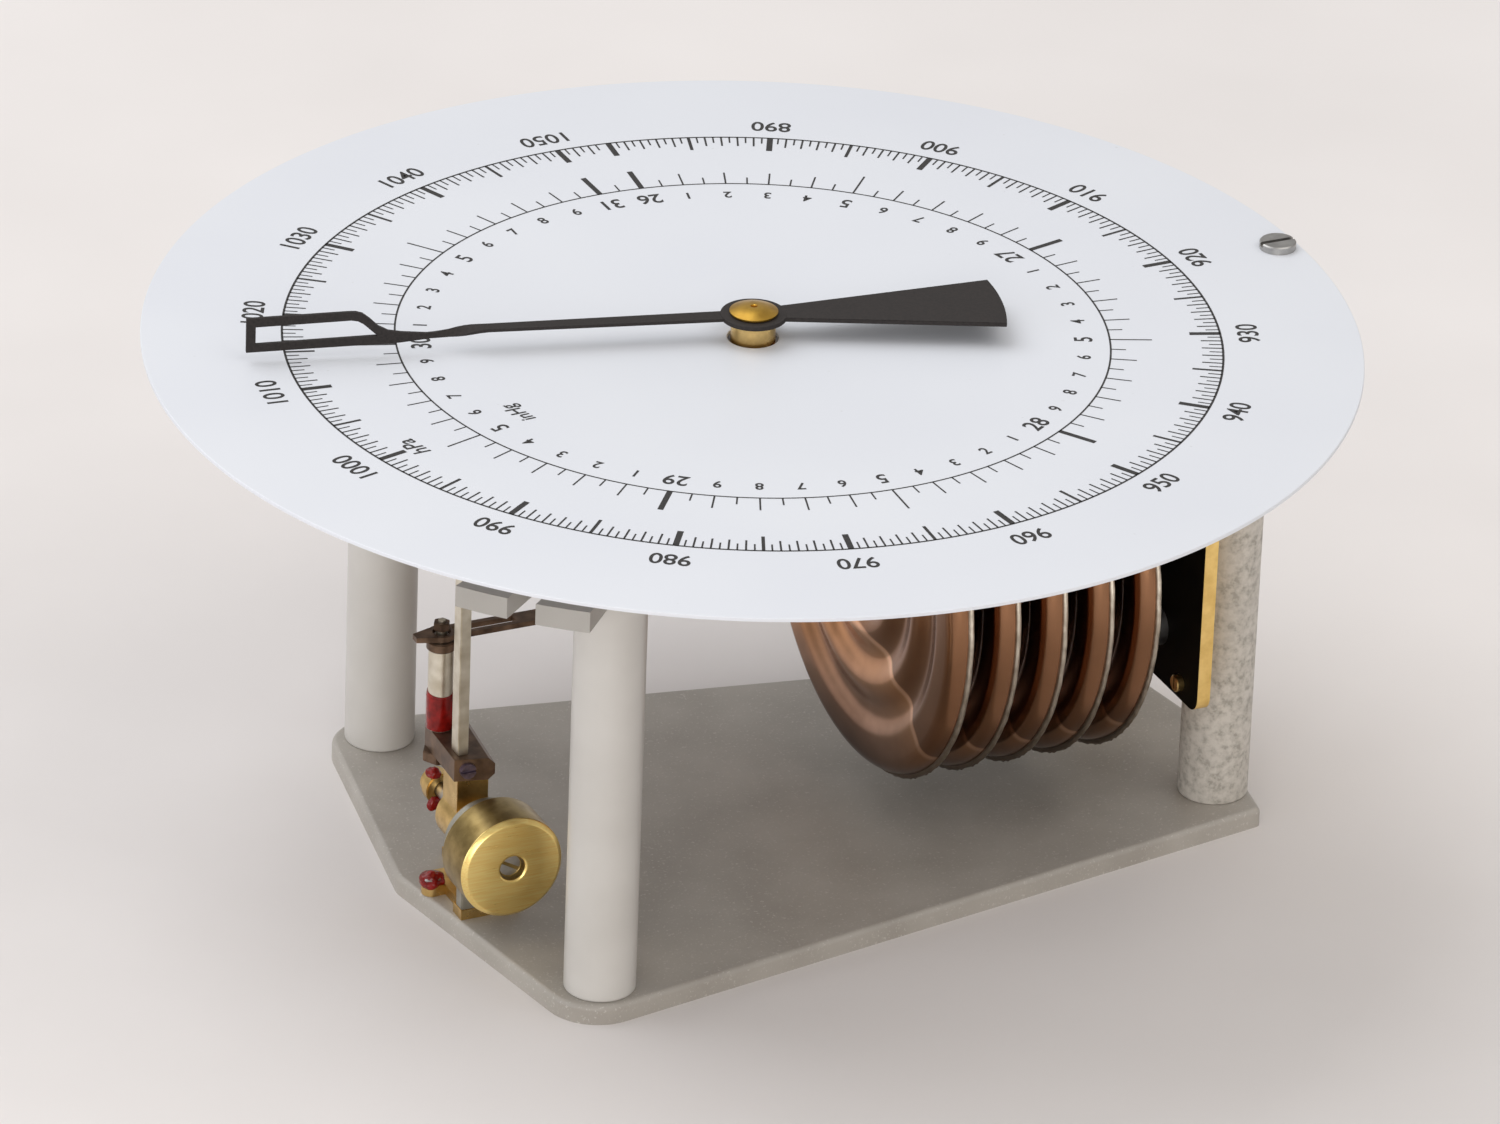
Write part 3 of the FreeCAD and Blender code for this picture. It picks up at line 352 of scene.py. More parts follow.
def blued_steel():
    s = Surface("blued_screw", (0.16, 0.12, 0.18), 0.35, 0.8)
    s.colour(s.ramp(s.noise(0.8, 2), [(0.3, (0.11, 0.085, 0.12)), (0.7, (0.26, 0.20, 0.26))]))
    return s.rough(s.noise(0.5, 2), 0.28, 0.42).material


STACK_AXIS = (0, 0, (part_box("capsule_1")[0].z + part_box("capsule_1")[1].z) / 2)
PAINT = hammer_paint()
SMOOTH = smooth_paint("smooth_grey_paint", (0.51, 0.485, 0.45), (0.58, 0.555, 0.52))
PLATE_PAINT = smooth_paint("plate_grey_paint", (0.355, 0.335, 0.305), (0.405, 0.385, 0.355))
MOTTLED = mottled_metal()
ENAMEL = dial_enamel()
INK = printed_ink()
BRASS = brass("warm_brass", (0.72, 0.50, 0.20), (0.50, 0.33, 0.12))
GOLD_BRASS = brass("cap_brass", (0.60, 0.36, 0.06), (0.42, 0.24, 0.04), "Z", (0.26, 0.40))
PLATE_BRASS = brass("bracket_brass", (0.98, 0.70, 0.26), (0.82, 0.55, 0.18), "Z", (0.34, 0.48))
COPPER = capsule_sheet()
SOLDER = solder()
STEEL = steel("turned_steel", (0.50, 0.49, 0.47), (0.32, 0.31, 0.30))
NICKEL = steel("warm_nickel", (0.74, 0.69, 0.58), (0.55, 0.49, 0.38))
CHEEK = steel("dull_cheek_nickel", (0.48, 0.46, 0.40), (0.30, 0.28, 0.23), (0.4, 0.55))
SPRING = steel("spring_strip", (0.40, 0.40, 0.46), (0.26, 0.26, 0.32))
BRONZE = dark_bronze()
LACQUER = red_lacquer()
BLACK = blackened()
BLUED = blued_steel()
BRACKET_SHADE_PAINT = blackened_face()
WEIGHT_BRASS = weight_brass()
# painted shade: darker brass copy for the balance weight's recess and rim
WEIGHT_SHADE_BRASS = brass("weight_painted_shade_brass", (0.36, 0.26, 0.10), (0.22, 0.15, 0.05), "Y", (0.26, 0.38))

SLOT_FINISH = {"base_paint": PAINT, "smooth_grey": SMOOTH, "mottled_grey": MOTTLED,
               "dial_enamel": ENAMEL, "steel": STEEL, "brass": BRASS, "nickel": NICKEL,
               "dark_bronze": BRONZE, "copper": COPPER, "red_lacquer": LACQUER,
               "blackened": BLACK, "spring_steel": SPRING}
NODE_SLOT = {part["node"]: part["material_slot"] for part in frame["record"]["subparts"]}
NODE_BODY = {node: body for body, nodes in frame["record"]["behaviour"]["bodies"].items()
             for node in nodes}


def finish_cad_nodes():
    for node, piece in frame["nodes"].items():
        finish = SLOT_FINISH[NODE_SLOT[node]]
        piece.data.materials.clear()
        piece.data.materials.append(finish)


# ---------------------------------------------------------------- mesh helpers
SHARP = math.radians(38)


def mark_sharp(bm):
    for face in bm.faces:
        face.smooth = True
    for edge in bm.edges:
        if len(edge.link_faces) == 2:
            edge.smooth = edge.calc_face_angle(0) < SHARP
        else:
            edge.smooth = False


def piece(name, bm, materials, node=None, body=None, slot=None):
    """Turn a bmesh in millimetres into a piece that rides on a body and stands for a node."""
    bmesh.ops.recalc_face_normals(bm, faces=bm.faces)
    mark_sharp(bm)
    bmesh.ops.scale(bm, vec=(MM, MM, MM), verts=bm.verts)
    mesh = bpy.data.meshes.new(name)
    bm.to_mesh(mesh)
    bm.free()
    for material in materials:
        mesh.materials.append(material)
    obj = bpy.data.objects.new(name, mesh)
    bpy.context.scene.collection.objects.link(obj)
    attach(obj, body or NODE_BODY[node])
    if node:
        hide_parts(node)
    return obj


def lathe(bm, profile, centre, axis, segments=96):
    """Revolve (radius, height) points about an axis through centre, closing the ends."""
    turn = Vector((0, 0, 1)).rotation_difference(Vector(axis)).to_matrix().to_4x4()
    place = Matrix.Translation(Vector(centre)) @ turn
    rings = []
    for r, h in profile:
        if r < 1e-6:
            rings.append([bm.verts.new(place @ Vector((0, 0, h)))])
            continue
        ring = []
        for i in range(segments):
            a = 2 * math.pi * i / segments
            ring.append(bm.verts.new(place @ Vector((r * math.cos(a), r * math.sin(a), h))))
        rings.append(ring)
    for low, high in zip(rings, rings[1:]):
        for i in range(segments):
            j = (i + 1) % segments
            corners = [low[i % len(low)], low[j % len(low)],
                       high[j % len(high)], high[i % len(high)]]
            unique = list(dict.fromkeys(corners))
            if len(unique) > 2:
                bm.faces.new(unique)
    return rings


def eased(points, radius, steps=4):
    """Round the inner corners of an open (r, h) profile with small arcs."""
    out = [Vector(points[0])]
    for before, here, after in zip(points, points[1:], points[2:]):
        p, q, s = Vector(before), Vector(here), Vector(after)
        cut = min(radius, (p - q).length / 2.2, (s - q).length / 2.2)
        a = q + (p - q).normalized() * cut
        b = q + (s - q).normalized() * cut
        for i in range(steps + 1):
            t = i / steps
            out.append(a * (1 - t) ** 2 + q * 2 * t * (1 - t) + b * t ** 2)
    out.append(Vector(points[-1]))
    return [(v.x, v.y) for v in out]


def slab(bm, outline, z0, z1, bevel):
    """Closed prism over (x, y) points, with its edges bevelled."""
    verts = [bm.verts.new((x, y, z0)) for x, y in outline]
    face = bm.faces.new(verts)
    made = bmesh.ops.extrude_face_region(bm, geom=[face])
    top = [v for v in made["geom"] if isinstance(v, bmesh.types.BMVert)]
    bmesh.ops.translate(bm, vec=(0, 0, z1 - z0), verts=top)
    rims = {e for v in verts + top for e in v.link_edges}
    bmesh.ops.bevel(bm, geom=list(rims), offset=bevel, segments=2, affect="EDGES",
                    clamp_overlap=True)


def softened(node, width_mm, name=None, material=None):
    """A copy of a CAD node with its sharp edges eased, standing for that node."""
    mesh = frame["nodes"][node].data.copy()
    name = name or node + "_eased"
    bm = bmesh.new()
    bm.from_mesh(mesh)
    bmesh.ops.remove_doubles(bm, verts=bm.verts, dist=1e-6)
    bmesh.ops.dissolve_limit(bm, angle_limit=math.radians(1.5), verts=bm.verts, edges=bm.edges)
    edges = [e for e in bm.edges if len(e.link_faces) == 2
             and e.calc_face_angle(0) > math.radians(35)]
    bmesh.ops.bevel(bm, geom=edges, offset=width_mm * MM, segments=2, affect="EDGES",
                    clamp_overlap=True)
    bmesh.ops.scale(bm, vec=(1 / MM, 1 / MM, 1 / MM), verts=bm.verts)
    return piece(name, bm, [material or SLOT_FINISH[NODE_SLOT[node]]], node=node)


# ---------------------------------------------------------------- camera and studio
LENS_MM = 272.0
CAMERA_TURN = 25.475                 # degrees to the left of the front
CAMERA_DOWN = 27.09                  # degrees that it looks down
CAMERA_ROLL = 2.13
CAMERA_AIM = (-5.27, -12.41, 40.0)   # a point on its axis, in millimetres
CAMERA_DISTANCE = 1.2009             # metres from that point


def camera():
    """A long lens looking down, from the front left."""
    data = bpy.data.cameras.new("camera")
    data.sensor_width = 36.0
    data.lens = LENS_MM
    data.clip_start = 0.05
    data.clip_end = 10.0
    cam = bpy.data.objects.new("camera", data)
    turn = math.radians(CAMERA_TURN)
    down = math.radians(CAMERA_DOWN)
    roll = math.radians(CAMERA_ROLL)
    forward = Vector((math.sin(turn) * math.cos(down), math.cos(turn) * math.cos(down),
                      -math.sin(down)))
    cam.rotation_mode = "QUATERNION"
    level = forward.to_track_quat("-Z", "Y")
    cam.rotation_quaternion = level @ Matrix.Rotation(roll, 3, "Z").to_quaternion()
    cam.location = Vector(CAMERA_AIM) * MM - forward * CAMERA_DISTANCE
    bpy.context.scene.collection.objects.link(cam)
    bpy.context.scene.camera = cam


def area_light(name, location, target, size, power, colour):
    data = bpy.data.lights.new(name, "AREA")
    data.shape = "RECTANGLE"
    data.size, data.size_y = size
    data.energy = power
    data.color = colour
    lamp = bpy.data.objects.new(name, data)
    lamp.location = location
    aim = Vector(target) - Vector(location)
    lamp.rotation_mode = "QUATERNION"
    lamp.rotation_quaternion = aim.to_track_quat("-Z", "Y")
    bpy.context.scene.collection.objects.link(lamp)


# name, place, target, size in metres, watts, colour
SOFTBOXES = (
    ("window", (-0.7, 0.9, 1.7), (0, 0, 0.03), (2.0, 2.0), 25, (0.95, 0.97, 1.0)),
    ("front", (-0.9, -1.5, 0.42), (0, 0, 0.02), (1.1, 0.7), 10, (1.0, 0.97, 0.93)),
    ("left", (-1.8, -0.2, 0.4), (0, 0, 0.02), (0.9, 0.6), 5.5, (0.82, 0.90, 1.0)),
    ("top", (0.8, -0.9, 1.9), (0.1, -0.1, 0), (2.0, 2.0), 13, (1.0, 0.98, 0.95)),
)
SKY_STRENGTH = 0.50


def studio():
    """Pale plain floor, an even sky and four softboxes."""
    floor_finish = Surface("pale_floor", (0.80, 0.77, 0.75), 0.8)
    grain = floor_finish.noise(60, 3)
    floor_finish.colour(floor_finish.ramp(grain, [(0.3, (0.73, 0.690, 0.670)),
                                                  (0.7, (0.78, 0.740, 0.720))]))
    bm = bmesh.new()
    bmesh.ops.create_grid(bm, x_segments=2, y_segments=2, size=4.0)
    mesh = bpy.data.meshes.new("floor")
    bm.to_mesh(mesh)
    bm.free()
    mesh.materials.append(floor_finish.material)
    floor = bpy.data.objects.new("floor", mesh)
    bpy.context.scene.collection.objects.link(floor)

    world = bpy.data.worlds.new("studio")
    bpy.context.scene.world = world
    world.use_nodes = True
    background = world.node_tree.nodes["Background"]
    background.inputs["Color"].default_value = (1.0, 0.985, 0.97, 1)
    background.inputs["Strength"].default_value = SKY_STRENGTH
    for lamp in SOFTBOXES:
        area_light(*lamp)
    bpy.context.scene.view_settings.view_transform = "Standard"


# ---------------------------------------------------------------- dial
def scale_turn(hpa):
    """Direction of a pressure on the dial, in radians from +X."""
    clockwise = SCALE_START + DEGREES_PER_HPA * (hpa - REFERENCE_HPA)
    return math.radians(REFERENCE_TURN - clockwise)


INK_Z = DIAL_TOP + 0.02
HPA_LABEL_R = 1.062 * SCALE_R
INHG_LABEL_R = 0.706 * SCALE_R
UNITS_HPA = 1000.1                   # the units stand at this pressure's direction
UPRIGHT_HPA = 1000                   # the dial is read with this pressure at the top
SIZE_PER_HEIGHT = 1.38               # font size for a digit of height one
LETTER_SQUEEZE = 0.92


def ring_stroke(bm, radius, width, steps=360):
    inner, outer = radius - width / 2, radius + width / 2
    loops = []
    for r in (inner, outer):
        loops.append([bm.verts.new((r * math.cos(2 * math.pi * i / steps),
                                    r * math.sin(2 * math.pi * i / steps), INK_Z))
                      for i in range(steps)])
    for i in range(steps):
        j = (i + 1) % steps
        bm.faces.new((loops[0][i], loops[0][j], loops[1][j], loops[1][i]))


def inner_turn(inches):
    """Direction of an inHg reading, whose printed scale is a little longer than the outer one."""
    last = INHG_RANGE[1]
    return scale_turn(last * HPA_PER_INHG) + math.radians(DEGREES_PER_INHG * (last - inches))


def tick(bm, angle, r0, r1, width):
    along = Vector((math.cos(angle), math.sin(angle), 0))
    across = Vector((-along.y, along.x, 0)) * width / 2
    up = Vector((0, 0, INK_Z))
    bm.faces.new([bm.verts.new(along * r + across * s + up)
                  for r, s in ((r0, -1), (r1, -1), (r1, 1), (r0, 1))])


def outer_ticks(bm):
    first, last = HPA_RANGE
    for half in range(2 * first, 2 * last + 2):
        hpa = half / 2
        if half % 20 == 0:
            length, width = 3.3, 0.66
        elif half % 10 == 0:
            length, width = 3.2, 0.36
        elif half % 2 == 0:
            length, width = 2.25, 0.21
        else:
            length, width = 1.45, 0.18
        tick(bm, scale_turn(hpa), SCALE_R - length, SCALE_R, width)


def inner_ticks(bm):
    first, last = INHG_RANGE
    for twentieth in range(20 * first, 20 * last + 2):
        if twentieth % 20 == 0:
            length, width = 4.4, 0.62
        elif twentieth % 10 == 0:
            length, width = 4.5, 0.21
        elif twentieth % 2 == 0:
            length, width = 2.8, 0.19
        else:
            length, width = 1.6, 0.18
        tick(bm, inner_turn(twentieth / 20), INNER_R, INNER_R + length, width)


def label(target, text, radius, angle, height, weight=0.0, slant=0.0):
    """Lettering along the circle, feet inwards in the dial's upper half and outwards below."""
    curve = bpy.data.curves.new("label", "FONT")
    curve.body = text
    curve.size = height * SIZE_PER_HEIGHT
    curve.align_x = "CENTER"
    curve.align_y = "CENTER"
    curve.offset = weight
    curve.shear = slant
    curve.resolution_u = 6
    obj = bpy.data.objects.new("label", curve)
    mesh = bpy.data.meshes.new_from_object(obj)
    upright = math.cos(angle - scale_turn(UPRIGHT_HPA)) > 0
    face = angle - math.pi / 2 if upright else angle + math.pi / 2
    squeeze = Matrix.Diagonal((LETTER_SQUEEZE, 1.0, 1.0, 1.0))
    place = (Matrix.Translation((radius * math.cos(angle), radius * math.sin(angle), INK_Z))
             @ Matrix.Rotation(face, 4, "Z") @ squeeze)
    mesh.transform(place)
    target.from_mesh(mesh)
    bpy.data.meshes.remove(mesh)
    bpy.data.objects.remove(obj)
    bpy.data.curves.remove(curve)


def numerals(bm):
    for hpa in range(890, 1051, 10):
        label(bm, str(hpa), HPA_LABEL_R, scale_turn(hpa), 2.35, 0.04)
    first, last = INHG_RANGE
    for tenth in range(10 * first, 10 * last + 1):
        angle = inner_turn(tenth / 10)
        if tenth % 10 == 0:
            label(bm, str(tenth // 10), INHG_LABEL_R, angle, 2.2, 0.045)
        else:
            height = 2.0 if tenth % 10 == 5 else 1.5
            label(bm, str(tenth % 10), INHG_LABEL_R, angle, height, 0.04)
    label(bm, "hPa", 0.906 * SCALE_R, scale_turn(UNITS_HPA), 2.0, 0.03, 0.2)
    label(bm, "inHg", 0.631 * SCALE_R, scale_turn(UNITS_HPA), 1.75, 0.03, 0.2)


def dial():
    bm = bmesh.new()
    low, top = DIAL_LOW.z, DIAL_TOP
    profile = [(DIAL_HOLE_R, low), (DIAL_HOLE_R, top), (DIAL_R, top), (DIAL_R, low)]
    lathe(bm, eased(profile, 0.12) + profile[:1], (0, 0, 0), (0, 0, 1), 360)
    bmesh.ops.remove_doubles(bm, verts=bm.verts, dist=1e-5)
    piece("dial_sheet", bm, [ENAMEL], node="dial")

    bm = bmesh.new()
    ring_stroke(bm, SCALE_R, 0.24)
    ring_stroke(bm, INNER_R, 0.20)
    outer_ticks(bm)
    inner_ticks(bm)
    flat_piece("dial_scales", bm)
    bm = bmesh.new()
    numerals(bm)
    flat_piece("dial_numerals", bm)


def flat_piece(name, bm):
    """Ink lying on the dial, all facing up."""
    for face in bm.faces:
        if face.normal.z < 0:
            face.normal_flip()
    bmesh.ops.scale(bm, vec=(MM, MM, MM), verts=bm.verts)
    mesh = bpy.data.meshes.new(name)
    bm.to_mesh(mesh)
    bm.free()
    mesh.materials.append(INK)
    obj = bpy.data.objects.new(name, mesh)
    bpy.context.scene.collection.objects.link(obj)
    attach(obj, ROOT)


# ---------------------------------------------------------------- pointer
POINTER_TURN = math.radians(165.7)
ARM_Z = 62.55
ARM_HALF_T = 0.18
ARM_FROM = 2.0
TWIST_FROM = 28.5
TWIST_TO = 35.2
BLADE_HALF_T = 0.20
HUB_Z = (62.3, 62.8)
HUB_HOLE_R = 0.6
HUB_R = 3.55
TAIL_R = 26.9
TAIL_HALF_ANGLE = 11.5


def pointer():
    """Flat arm, a quarter twist, then an upright blade with a long window."""
    bm = bmesh.new()
    stations = []
    for i in range(41):
        s = ARM_FROM + (TWIST_TO - ARM_FROM) * i / 40
        t = min(max((s - TWIST_FROM) / (TWIST_TO - TWIST_FROM), 0.0), 1.0)
        t = t * t * (3 - 2 * t)
        turn = -t * math.pi / 2
        half_w = 1.0 - 0.01 * s - 0.35 * t
        height = ARM_Z - 0.50 * t
        stations.append((s, half_w, height, turn))
    rings = []
    for s, half_w, height, turn in stations:
        ring = []
        for w, t in ((-1, -1), (1, -1), (1, 1), (-1, 1)):
            across = w * half_w
            up = t * ARM_HALF_T
            y = across * math.cos(turn) - up * math.sin(turn)
            z = across * math.sin(turn) + up * math.cos(turn)
            ring.append(bm.verts.new((s, y, height + z)))
        rings.append(ring)
    for a, b in zip(rings, rings[1:]):
        for i in range(4):
            bm.faces.new((a[i], a[(i + 1) % 4], b[(i + 1) % 4], b[i]))
    bm.faces.new(rings[0])
    bm.faces.new(rings[-1][::-1])

    blade = bmesh.new()
    outer = [(34.2, 61.80), (38.0, 61.42), (54.35, 61.10), (54.35, 65.02), (43.4, 65.25),
             (42.7, 65.22), (42.0, 65.0), (41.2, 64.35), (40.3, 63.45), (39.2, 62.85),
             (37.8, 62.60), (34.2, 62.25)]
    window = [(53.35, 62.02), (53.35, 64.02), (43.2, 64.28), (42.5, 64.15), (41.9, 63.8),
              (41.1, 63.05), (40.35, 62.35)]
    rims = []
    for y in (-BLADE_HALF_T, BLADE_HALF_T):
        for loop in (outer, window):
            verts = [blade.verts.new((s, y, z)) for s, z in loop]
            edges = [blade.edges.new((verts[i], verts[(i + 1) % len(verts)]))
                     for i in range(len(verts))]
            rims.append((verts, edges))
    for k in (0, 2):
        bmesh.ops.triangle_fill(blade, use_beauty=True, use_dissolve=False,
                                edges=rims[k][1] + rims[k + 1][1])
    for k in (0, 1):
        front, back = rims[k][0], rims[k + 2][0]
        for i in range(len(front)):
            j = (i + 1) % len(front)
            blade.faces.new((front[i], front[j], back[j], back[i]))
    join(bm, blade)

    low, high = HUB_Z
    hub = [(HUB_HOLE_R, low), (HUB_R, low), (HUB_R, high), (HUB_HOLE_R, high)]
    lathe(bm, eased(hub, 0.08) + hub[:1], (0, 0, 0), (0, 0, 1), 96)
    tail = bmesh.new()
    half = math.radians(TAIL_HALF_ANGLE)
    arc = [(-TAIL_R * math.cos(half * i / 6), -TAIL_R * math.sin(half * i / 6))
           for i in range(-6, 7)]
    slab(tail, [(-2.6, -1.45)] + arc[::-1] + [(-2.6, 1.45)], 62.3, 62.78, bevel=0.05)
    join(bm, tail)
    bmesh.ops.rotate(bm, cent=(0, 0, 0), matrix=Matrix.Rotation(POINTER_TURN, 3, "Z"),
                     verts=bm.verts)
    piece("pointer_vane", bm, [BLACK], node="pointer")

    bm = bmesh.new()
    boss_low = span("pointer_boss")[0].z
    lathe(bm, eased([(0, boss_low), (2.4, boss_low), (2.4, 62.3), (0, 62.3)], 0.1),
          (0, 0, 0), (0, 0, 1), 72)
    piece("pointer_boss_turned", bm, [BRASS], node="pointer_boss")
    bm = bmesh.new()
    dome = [(0, 62.8), (2.45, 62.8), (2.6, 62.95), (2.6, 63.1)]
    for i in range(1, 9):
        a = math.radians(90 * i / 9)
        dome.append((2.6 - 2.2 * (i / 9), 63.1 + 0.54 * math.sin(a)))
    dome += [(0.38, 63.63), (0.33, 63.5), (0.3, 63.2), (0, 63.2)]
    lathe(bm, dome, (0, 0, 0), (0, 0, 1), 72)
    piece("pointer_cap_dome", bm, [GOLD_BRASS], node="pointer_cap")


def join(target, source):
    mesh = bpy.data.meshes.new("join")
    source.to_mesh(mesh)
    source.free()
    target.from_mesh(mesh)
    bpy.data.meshes.remove(mesh)


# ---------------------------------------------------------------- capsules
CAPSULE_BOSS_R = 3.6
CENTRE_R = 3.4                       # flat centre of a diaphragm
CENTRE_DROP = 0.35                   # how far it lies below the crests
CORRUGATION_FROM = 4.2
CORRUGATION_PITCH = 6.1
CORRUGATION_CREST = 14.0
CREST_DEPTH = 2.1
CORRUGATION_DEPTH = 0.42
RIM_HALF = 0.28
CREST_R = CORRUGATION_CREST + CORRUGATION_PITCH
SHOULDER_R = 1.8                     # round shoulder between the last crest and the rim
SHOULDER_TURN = 78.0
SHOULDER_FROM = 22.0
RIM_FROM = 23.9
RIM_TO = 24.48
SOLDER_FROM = 23.7
BEAD_R = 24.1                        # solder bead: where it bulges from, and by how much
BEAD_BULGE = 0.38


def corrugations():
    """(radius, distance from the seam) from the centre out to the last crest."""
    centre = CREST_DEPTH - CENTRE_DROP
    points = [(0.0, centre), (CENTRE_R, centre)]
    steps = 44
    for i in range(steps + 1):
        r = CORRUGATION_FROM + (CREST_R - CORRUGATION_FROM) * i / steps
        swing = math.cos(2 * math.pi * (r - CORRUGATION_CREST) / CORRUGATION_PITCH)
        points.append((r, CREST_DEPTH - CORRUGATION_DEPTH * (1 - swing)))
    return points


def deep_profile():
    """Left diaphragm, with a round shoulder down to the rim."""
    points = corrugations()
    for i in range(15):
        a = math.radians(SHOULDER_TURN) * i / 14
        points.append((SHOULDER_FROM + SHOULDER_R * math.sin(a),
                       CREST_DEPTH - SHOULDER_R * (1 - math.cos(a))))
    return points + [(RIM_FROM, RIM_HALF)]


def shallow_profile():
    """Right diaphragm, which falls gently to the rim."""
    points = corrugations()
    for i in range(1, 15):
        t = i / 14
        r = CREST_R + (RIM_FROM - CREST_R) * t
        points.append((r, RIM_HALF + (CREST_DEPTH - RIM_HALF) * (1 - t * t * (3 - 2 * t))))
    return points


def capsules():
    left = [(r, -d) for r, d in deep_profile()]
    right = [(r, d) for r, d in shallow_profile()[::-1]]
    for k in range(1, 6):
        node = "capsule_%d" % k
        low, high = span(node)
        seam = (low.x + high.x) / 2
        centre = (seam, 0, STACK_AXIS[2] / MM)
        bm = bmesh.new()
        lathe(bm, left + right, centre, (1, 0, 0), 160)
        boss = (high.x - low.x) / 2
        for side in (-1, 1):
            lathe(bm, [(0, side * 1.6), (CAPSULE_BOSS_R, side * 1.6),
                       (CAPSULE_BOSS_R, side * (boss - 0.1)),
                       (CAPSULE_BOSS_R - 0.1, side * boss), (0, side * boss)],
                  centre, (1, 0, 0), 64)
        piece("capsule_%d_shell" % k, bm, [COPPER], node=node)
        bm = bmesh.new()
        rim = []
        for i in range(13):
            a = math.radians(180 * i / 12)
            rim.append((BEAD_R + BEAD_BULGE * math.sin(a), -1.1 * RIM_HALF * math.cos(a)))
        rings = lathe(bm, [(SOLDER_FROM, -RIM_HALF)] + rim + [(SOLDER_FROM, RIM_HALF)],
                      centre, (1, 0, 0), 240)
        lump(rings, centre, RIM_TO)
        piece("capsule_%d_solder" % k, bm, [SOLDER], body=node, slot="copper")


def lump(rings, centre, limit):
    """Slightly uneven solder, never past the rim's own radius."""
    middle = Vector(centre)
    for ring in rings[1:-1]:
        for vert in ring:
            out = vert.co - middle
            out.x = 0
            wobble = noise.noise(vert.co * 0.55) * 0.10 + noise.noise(vert.co * 1.9) * 0.04
            room = limit - out.length
            vert.co += out.normalized() * (room if room < 0 else min(wobble - 0.10, room))


# ---------------------------------------------------------------- pillars, plates, bracket
def pillars():
    for name in ("front_left", "rear_left", "front_right", "rear_right"):
        node = "pillar_" + name
        low, high = span(node)
        r = (high.x - low.x) / 2 - 0.002
        centre = ((low.x + high.x) / 2, (low.y + high.y) / 2, 0)
        bm = bmesh.new()
        profile = eased([(0, low.z), (r - 0.12, low.z), (r, low.z + 0.2), (r, high.z - 0.2),
                         (r - 0.12, high.z), (0, high.z)], 0.15)
        lathe(bm, profile, centre, (0, 0, 1), 96)
        finish = MOTTLED if "right" in name else SMOOTH
        piece(node + "_turned", bm, [finish], node=node)


def bracket():
    """Brass plate whose face towards the capsules carries brown-black painted shade."""
    plate = softened("capsule_bracket", 0.12, "bracket_plate", PLATE_BRASS)
    plate.data.materials.append(BRACKET_SHADE_PAINT)
    # painted shade: faces turned to -X, towards the capsules, take the dark material
    for face in plate.data.polygons:
        if face.normal.x < -0.95:
            face.material_index = 1


# ---------------------------------------------------------------- rocking shaft group
WEIGHT_RECESS_R = 1.45
WEIGHT_FACE_R = 4


def balance_weight():
    """Turned weight with a bright face; its recess and its rim take a darker brass copy as painted
    shade.
    """
    low, high = span("balance_weight")
    r = (high.z - low.z) / 2
    centre = ((low.x + high.x) / 2, 0, (low.z + high.z) / 2)
    bm = bmesh.new()
    front, back = low.y, high.y
    profile = eased([(0, front + 0.95), (1.28, front + 0.9), (1.42, front + 0.15),
                     (1.62, front), (r - 0.5, front), (r, front + 0.45), (r, back - 0.4),
                     (r - 0.4, back), (0, back)], 0.12)
    lathe(bm, profile, centre, (0, 1, 0), 128)
    weight = piece("balance_weight_turned", bm, [WEIGHT_BRASS, WEIGHT_SHADE_BRASS], node="balance_weight")
    middle = Vector(centre) * MM
    for face in weight.data.polygons:
        out = face.center - middle
        out.y = 0
        recess = out.length < WEIGHT_RECESS_R * MM
        rim_in_shade = abs(face.normal.y) < 0.3 and out.length > WEIGHT_FACE_R * MM
        # painted shade on the recess and on the rim
        if recess or rim_in_shade:
            face.material_index = 1


def blob(name, centre, size, seed, node=None):
    """A lumpy drop of sealing lacquer."""
    bm = bmesh.new()
    bmesh.ops.create_icosphere(bm, subdivisions=4, radius=1.0)
    for vert in bm.verts:
        n = noise.noise(vert.co * 1.3 + Vector((seed, 0, 0))) * 0.22
        n += noise.noise(vert.co * 3.1 + Vector((0, seed, 0))) * 0.08
        vert.co *= 1 + n
        vert.co = Vector([c * s for c, s in zip(vert.co, size)]) + Vector(centre)
    piece(name, bm, [LACQUER], node=node, body=ROOT, slot="red_lacquer")


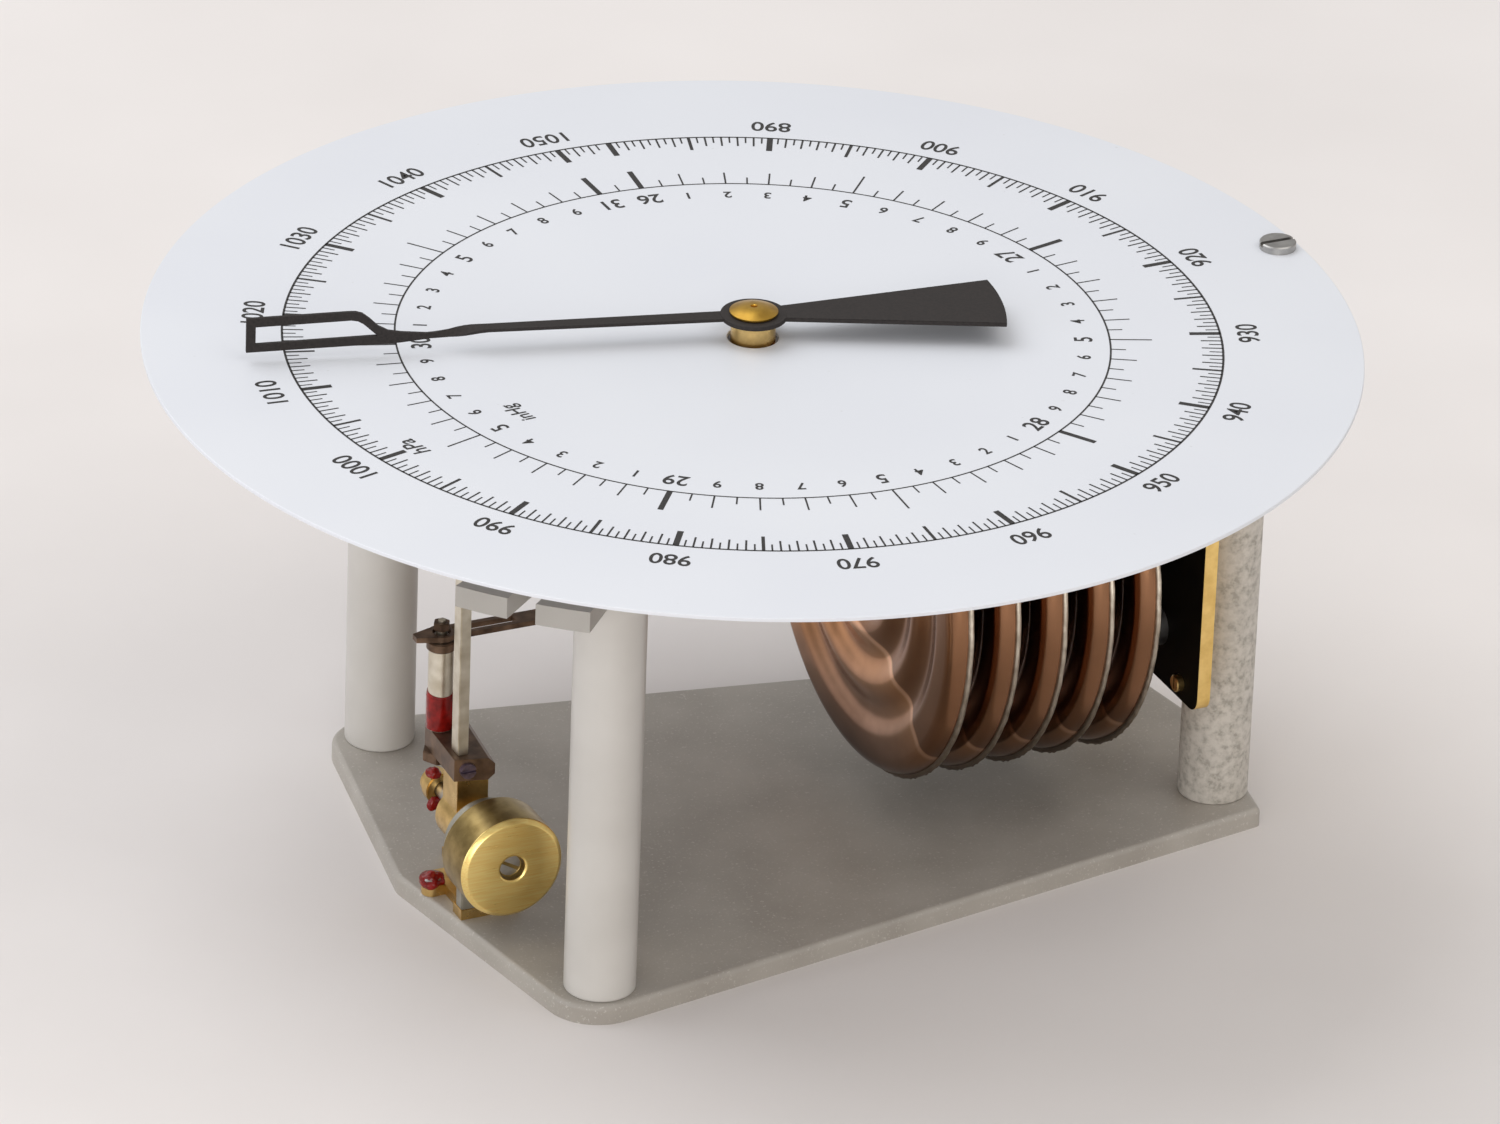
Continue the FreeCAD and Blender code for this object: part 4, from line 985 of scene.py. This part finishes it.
def seals():
    screw_low, screw_high = span("foot_screws")
    z = screw_high.z - 0.45
    head_r = 1.1
    front = (screw_low.x + head_r, screw_low.y + head_r, z)
    rear = (screw_high.x - head_r, screw_high.y - head_r, z)
    blob("foot_seal_front", front, (1.4, 1.3, 0.95), 1.0, "foot_seals")
    blob("foot_seal_rear", rear, (1.3, 1.3, 0.9), 4.0)
    cheek_low, cheek_high = span("rear_cheek")
    top = (cheek_low.x + 1.0, cheek_low.y + 0.5, cheek_high.z + 0.1)
    blob("bearing_seal_top", top, (0.8, 0.9, 0.6), 7.0)
    side = (cheek_low.x + 0.9, cheek_low.y + 0.1, cheek_high.z - 3.4)
    blob("bearing_seal_side", side, (0.8, 0.45, 0.9), 9.0)
    low, high = span("post_lacquer")
    x, y = (low.x + high.x) / 2, (low.y + high.y) / 2
    bm = bmesh.new()
    rings = lathe(bm, eased([(1.3, low.z), (1.48, low.z + 0.1), (1.50, high.z - 0.6),
                             (1.42, high.z), (1.3, high.z)], 0.1), (x, y, 0), (0, 0, 1), 64)
    for ring in rings[len(rings) // 2:]:
        for i, vert in enumerate(ring):
            vert.co.z += 0.22 * math.sin(2 * math.pi * i / len(ring)) - 0.2
    piece("post_lacquer_band", bm, [LACQUER], node="post_lacquer")


def rocker():
    balance_weight()
    softened("cross_bar", 0.18)
    softened("rocker_arm", 0.25)
    softened("lift_rod", 0.08)
    softened("draw_strip", 0.06)
    softened("front_cheek", 0.12, material=CHEEK)
    softened("rear_cheek", 0.12)
    softened("bearing_foot", 0.15)
    seals()


def eased_hardware():
    softened("top_plate", 0.15, material=PLATE_PAINT)
    for node, width in (("dial_screw", 0.08), ("stack_nuts", 0.12),
                        ("bridge", 0.1), ("post_nut", 0.08), ("post_root_nut", 0.08),
                        ("top_screws", 0.1), ("base_screws", 0.05), ("sector_link", 0.04),
                        ("toothed_sector", 0.03)):
        softened(node, width)


finish_cad_nodes()
frame["nodes"]["bar_screw"].data.materials[0] = BLUED
camera()
studio()
dial()
pointer()
capsules()
pillars()
bracket()
rocker()
eased_hardware()
